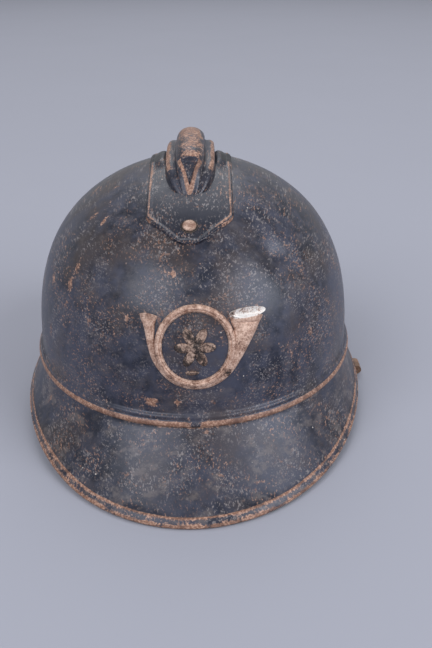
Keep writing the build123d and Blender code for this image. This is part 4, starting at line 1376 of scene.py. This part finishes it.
class HELMET_OT_stage(bpy.types.Operator):
    """Lay the pale floor, hang the lamps and place the camera"""

    bl_idname = "helmet.stage"
    bl_label = "Stage"

    def execute(self, context):
        scene = context.scene
        deselect()
        bpy.ops.mesh.primitive_plane_add(size=FLOOR_SIZE, location=(0, 0, 0))
        floor = context.object
        floor.name = "floor"
        made = Finish("Pale paper")
        made.set("Base Color", made.mix(made.noise(260, 3), colours().floor, scaled(colours().floor, 0.96)))
        made.set("Roughness", 0.9)
        floor.data.materials.append(made.material)
        scene.world = plain_world()
        for name, place, size, power, shade in LAMPS:
            lamp = bpy.data.lights.new(name, "AREA")
            lamp.size, lamp.energy, lamp.color = size, power, shade
            hung = bpy.data.objects.new(name, lamp)
            hung.location = place
            hung.rotation_euler = (Vector(LAMP_AIM) - Vector(place)).to_track_quat("-Z", "Y").to_euler()
            context.collection.objects.link(hung)
        lens = bpy.data.cameras.new("camera")
        lens.lens, lens.sensor_width, lens.clip_start = FOCAL_LENGTH, SENSOR_WIDTH, NEAREST
        camera = bpy.data.objects.new("camera", lens)
        context.collection.objects.link(camera)
        camera.matrix_world = camera_matrix()
        scene.camera = camera
        scene.view_settings.view_transform = "Standard"
        return {"FINISHED"}


OPERATORS = (
    HELMET_OT_stage,
    HELMET_OT_bowl,
    HELMET_OT_brims,
    HELMET_OT_comb,
    HELMET_OT_rivets,
    HELMET_OT_badge,
    HELMET_OT_liner_leather,
    HELMET_OT_felt,
    HELMET_OT_lace,
    HELMET_OT_strap_end,
    HELMET_OT_plain_metal,
)
GROUPS = (
    ("helmet_shell", HelmetShell),
    ("helmet_comb", HelmetComb),
    ("helmet_badge", HelmetBadge),
    ("helmet_liner", HelmetLiner),
    ("helmet_colours", HelmetColours),
)


class HELMET_PT_pieces(bpy.types.Panel):
    """The helmet's sizes, colours and pieces"""

    bl_idname = "HELMET_PT_pieces"
    bl_label = "Helmet"
    bl_space_type = "VIEW_3D"
    bl_region_type = "UI"
    bl_category = "Helmet"

    def draw(self, context):
        layout = self.layout
        for attribute, group in GROUPS:
            box = layout.box()
            box.label(text=attribute.replace("helmet_", "").capitalize())
            for name in group.__annotations__:
                box.prop(getattr(context.scene, attribute), name)
        for operator in OPERATORS:
            layout.operator(operator.bl_idname)


def register():
    for _, group in GROUPS:
        bpy.utils.register_class(group)
    for attribute, group in GROUPS:
        setattr(bpy.types.Scene, attribute, PointerProperty(type=group))
    for operator in OPERATORS:
        bpy.utils.register_class(operator)
    bpy.utils.register_class(HELMET_PT_pieces)


def unregister():
    bpy.utils.unregister_class(HELMET_PT_pieces)
    for operator in reversed(OPERATORS):
        bpy.utils.unregister_class(operator)
    for attribute, group in reversed(GROUPS):
        delattr(bpy.types.Scene, attribute)
        bpy.utils.unregister_class(group)


def main():
    register()
    for operator in OPERATORS:
        group, name = operator.bl_idname.split(".")
        getattr(getattr(bpy.ops, group), name)()


if __name__ == "__main__":
    main()
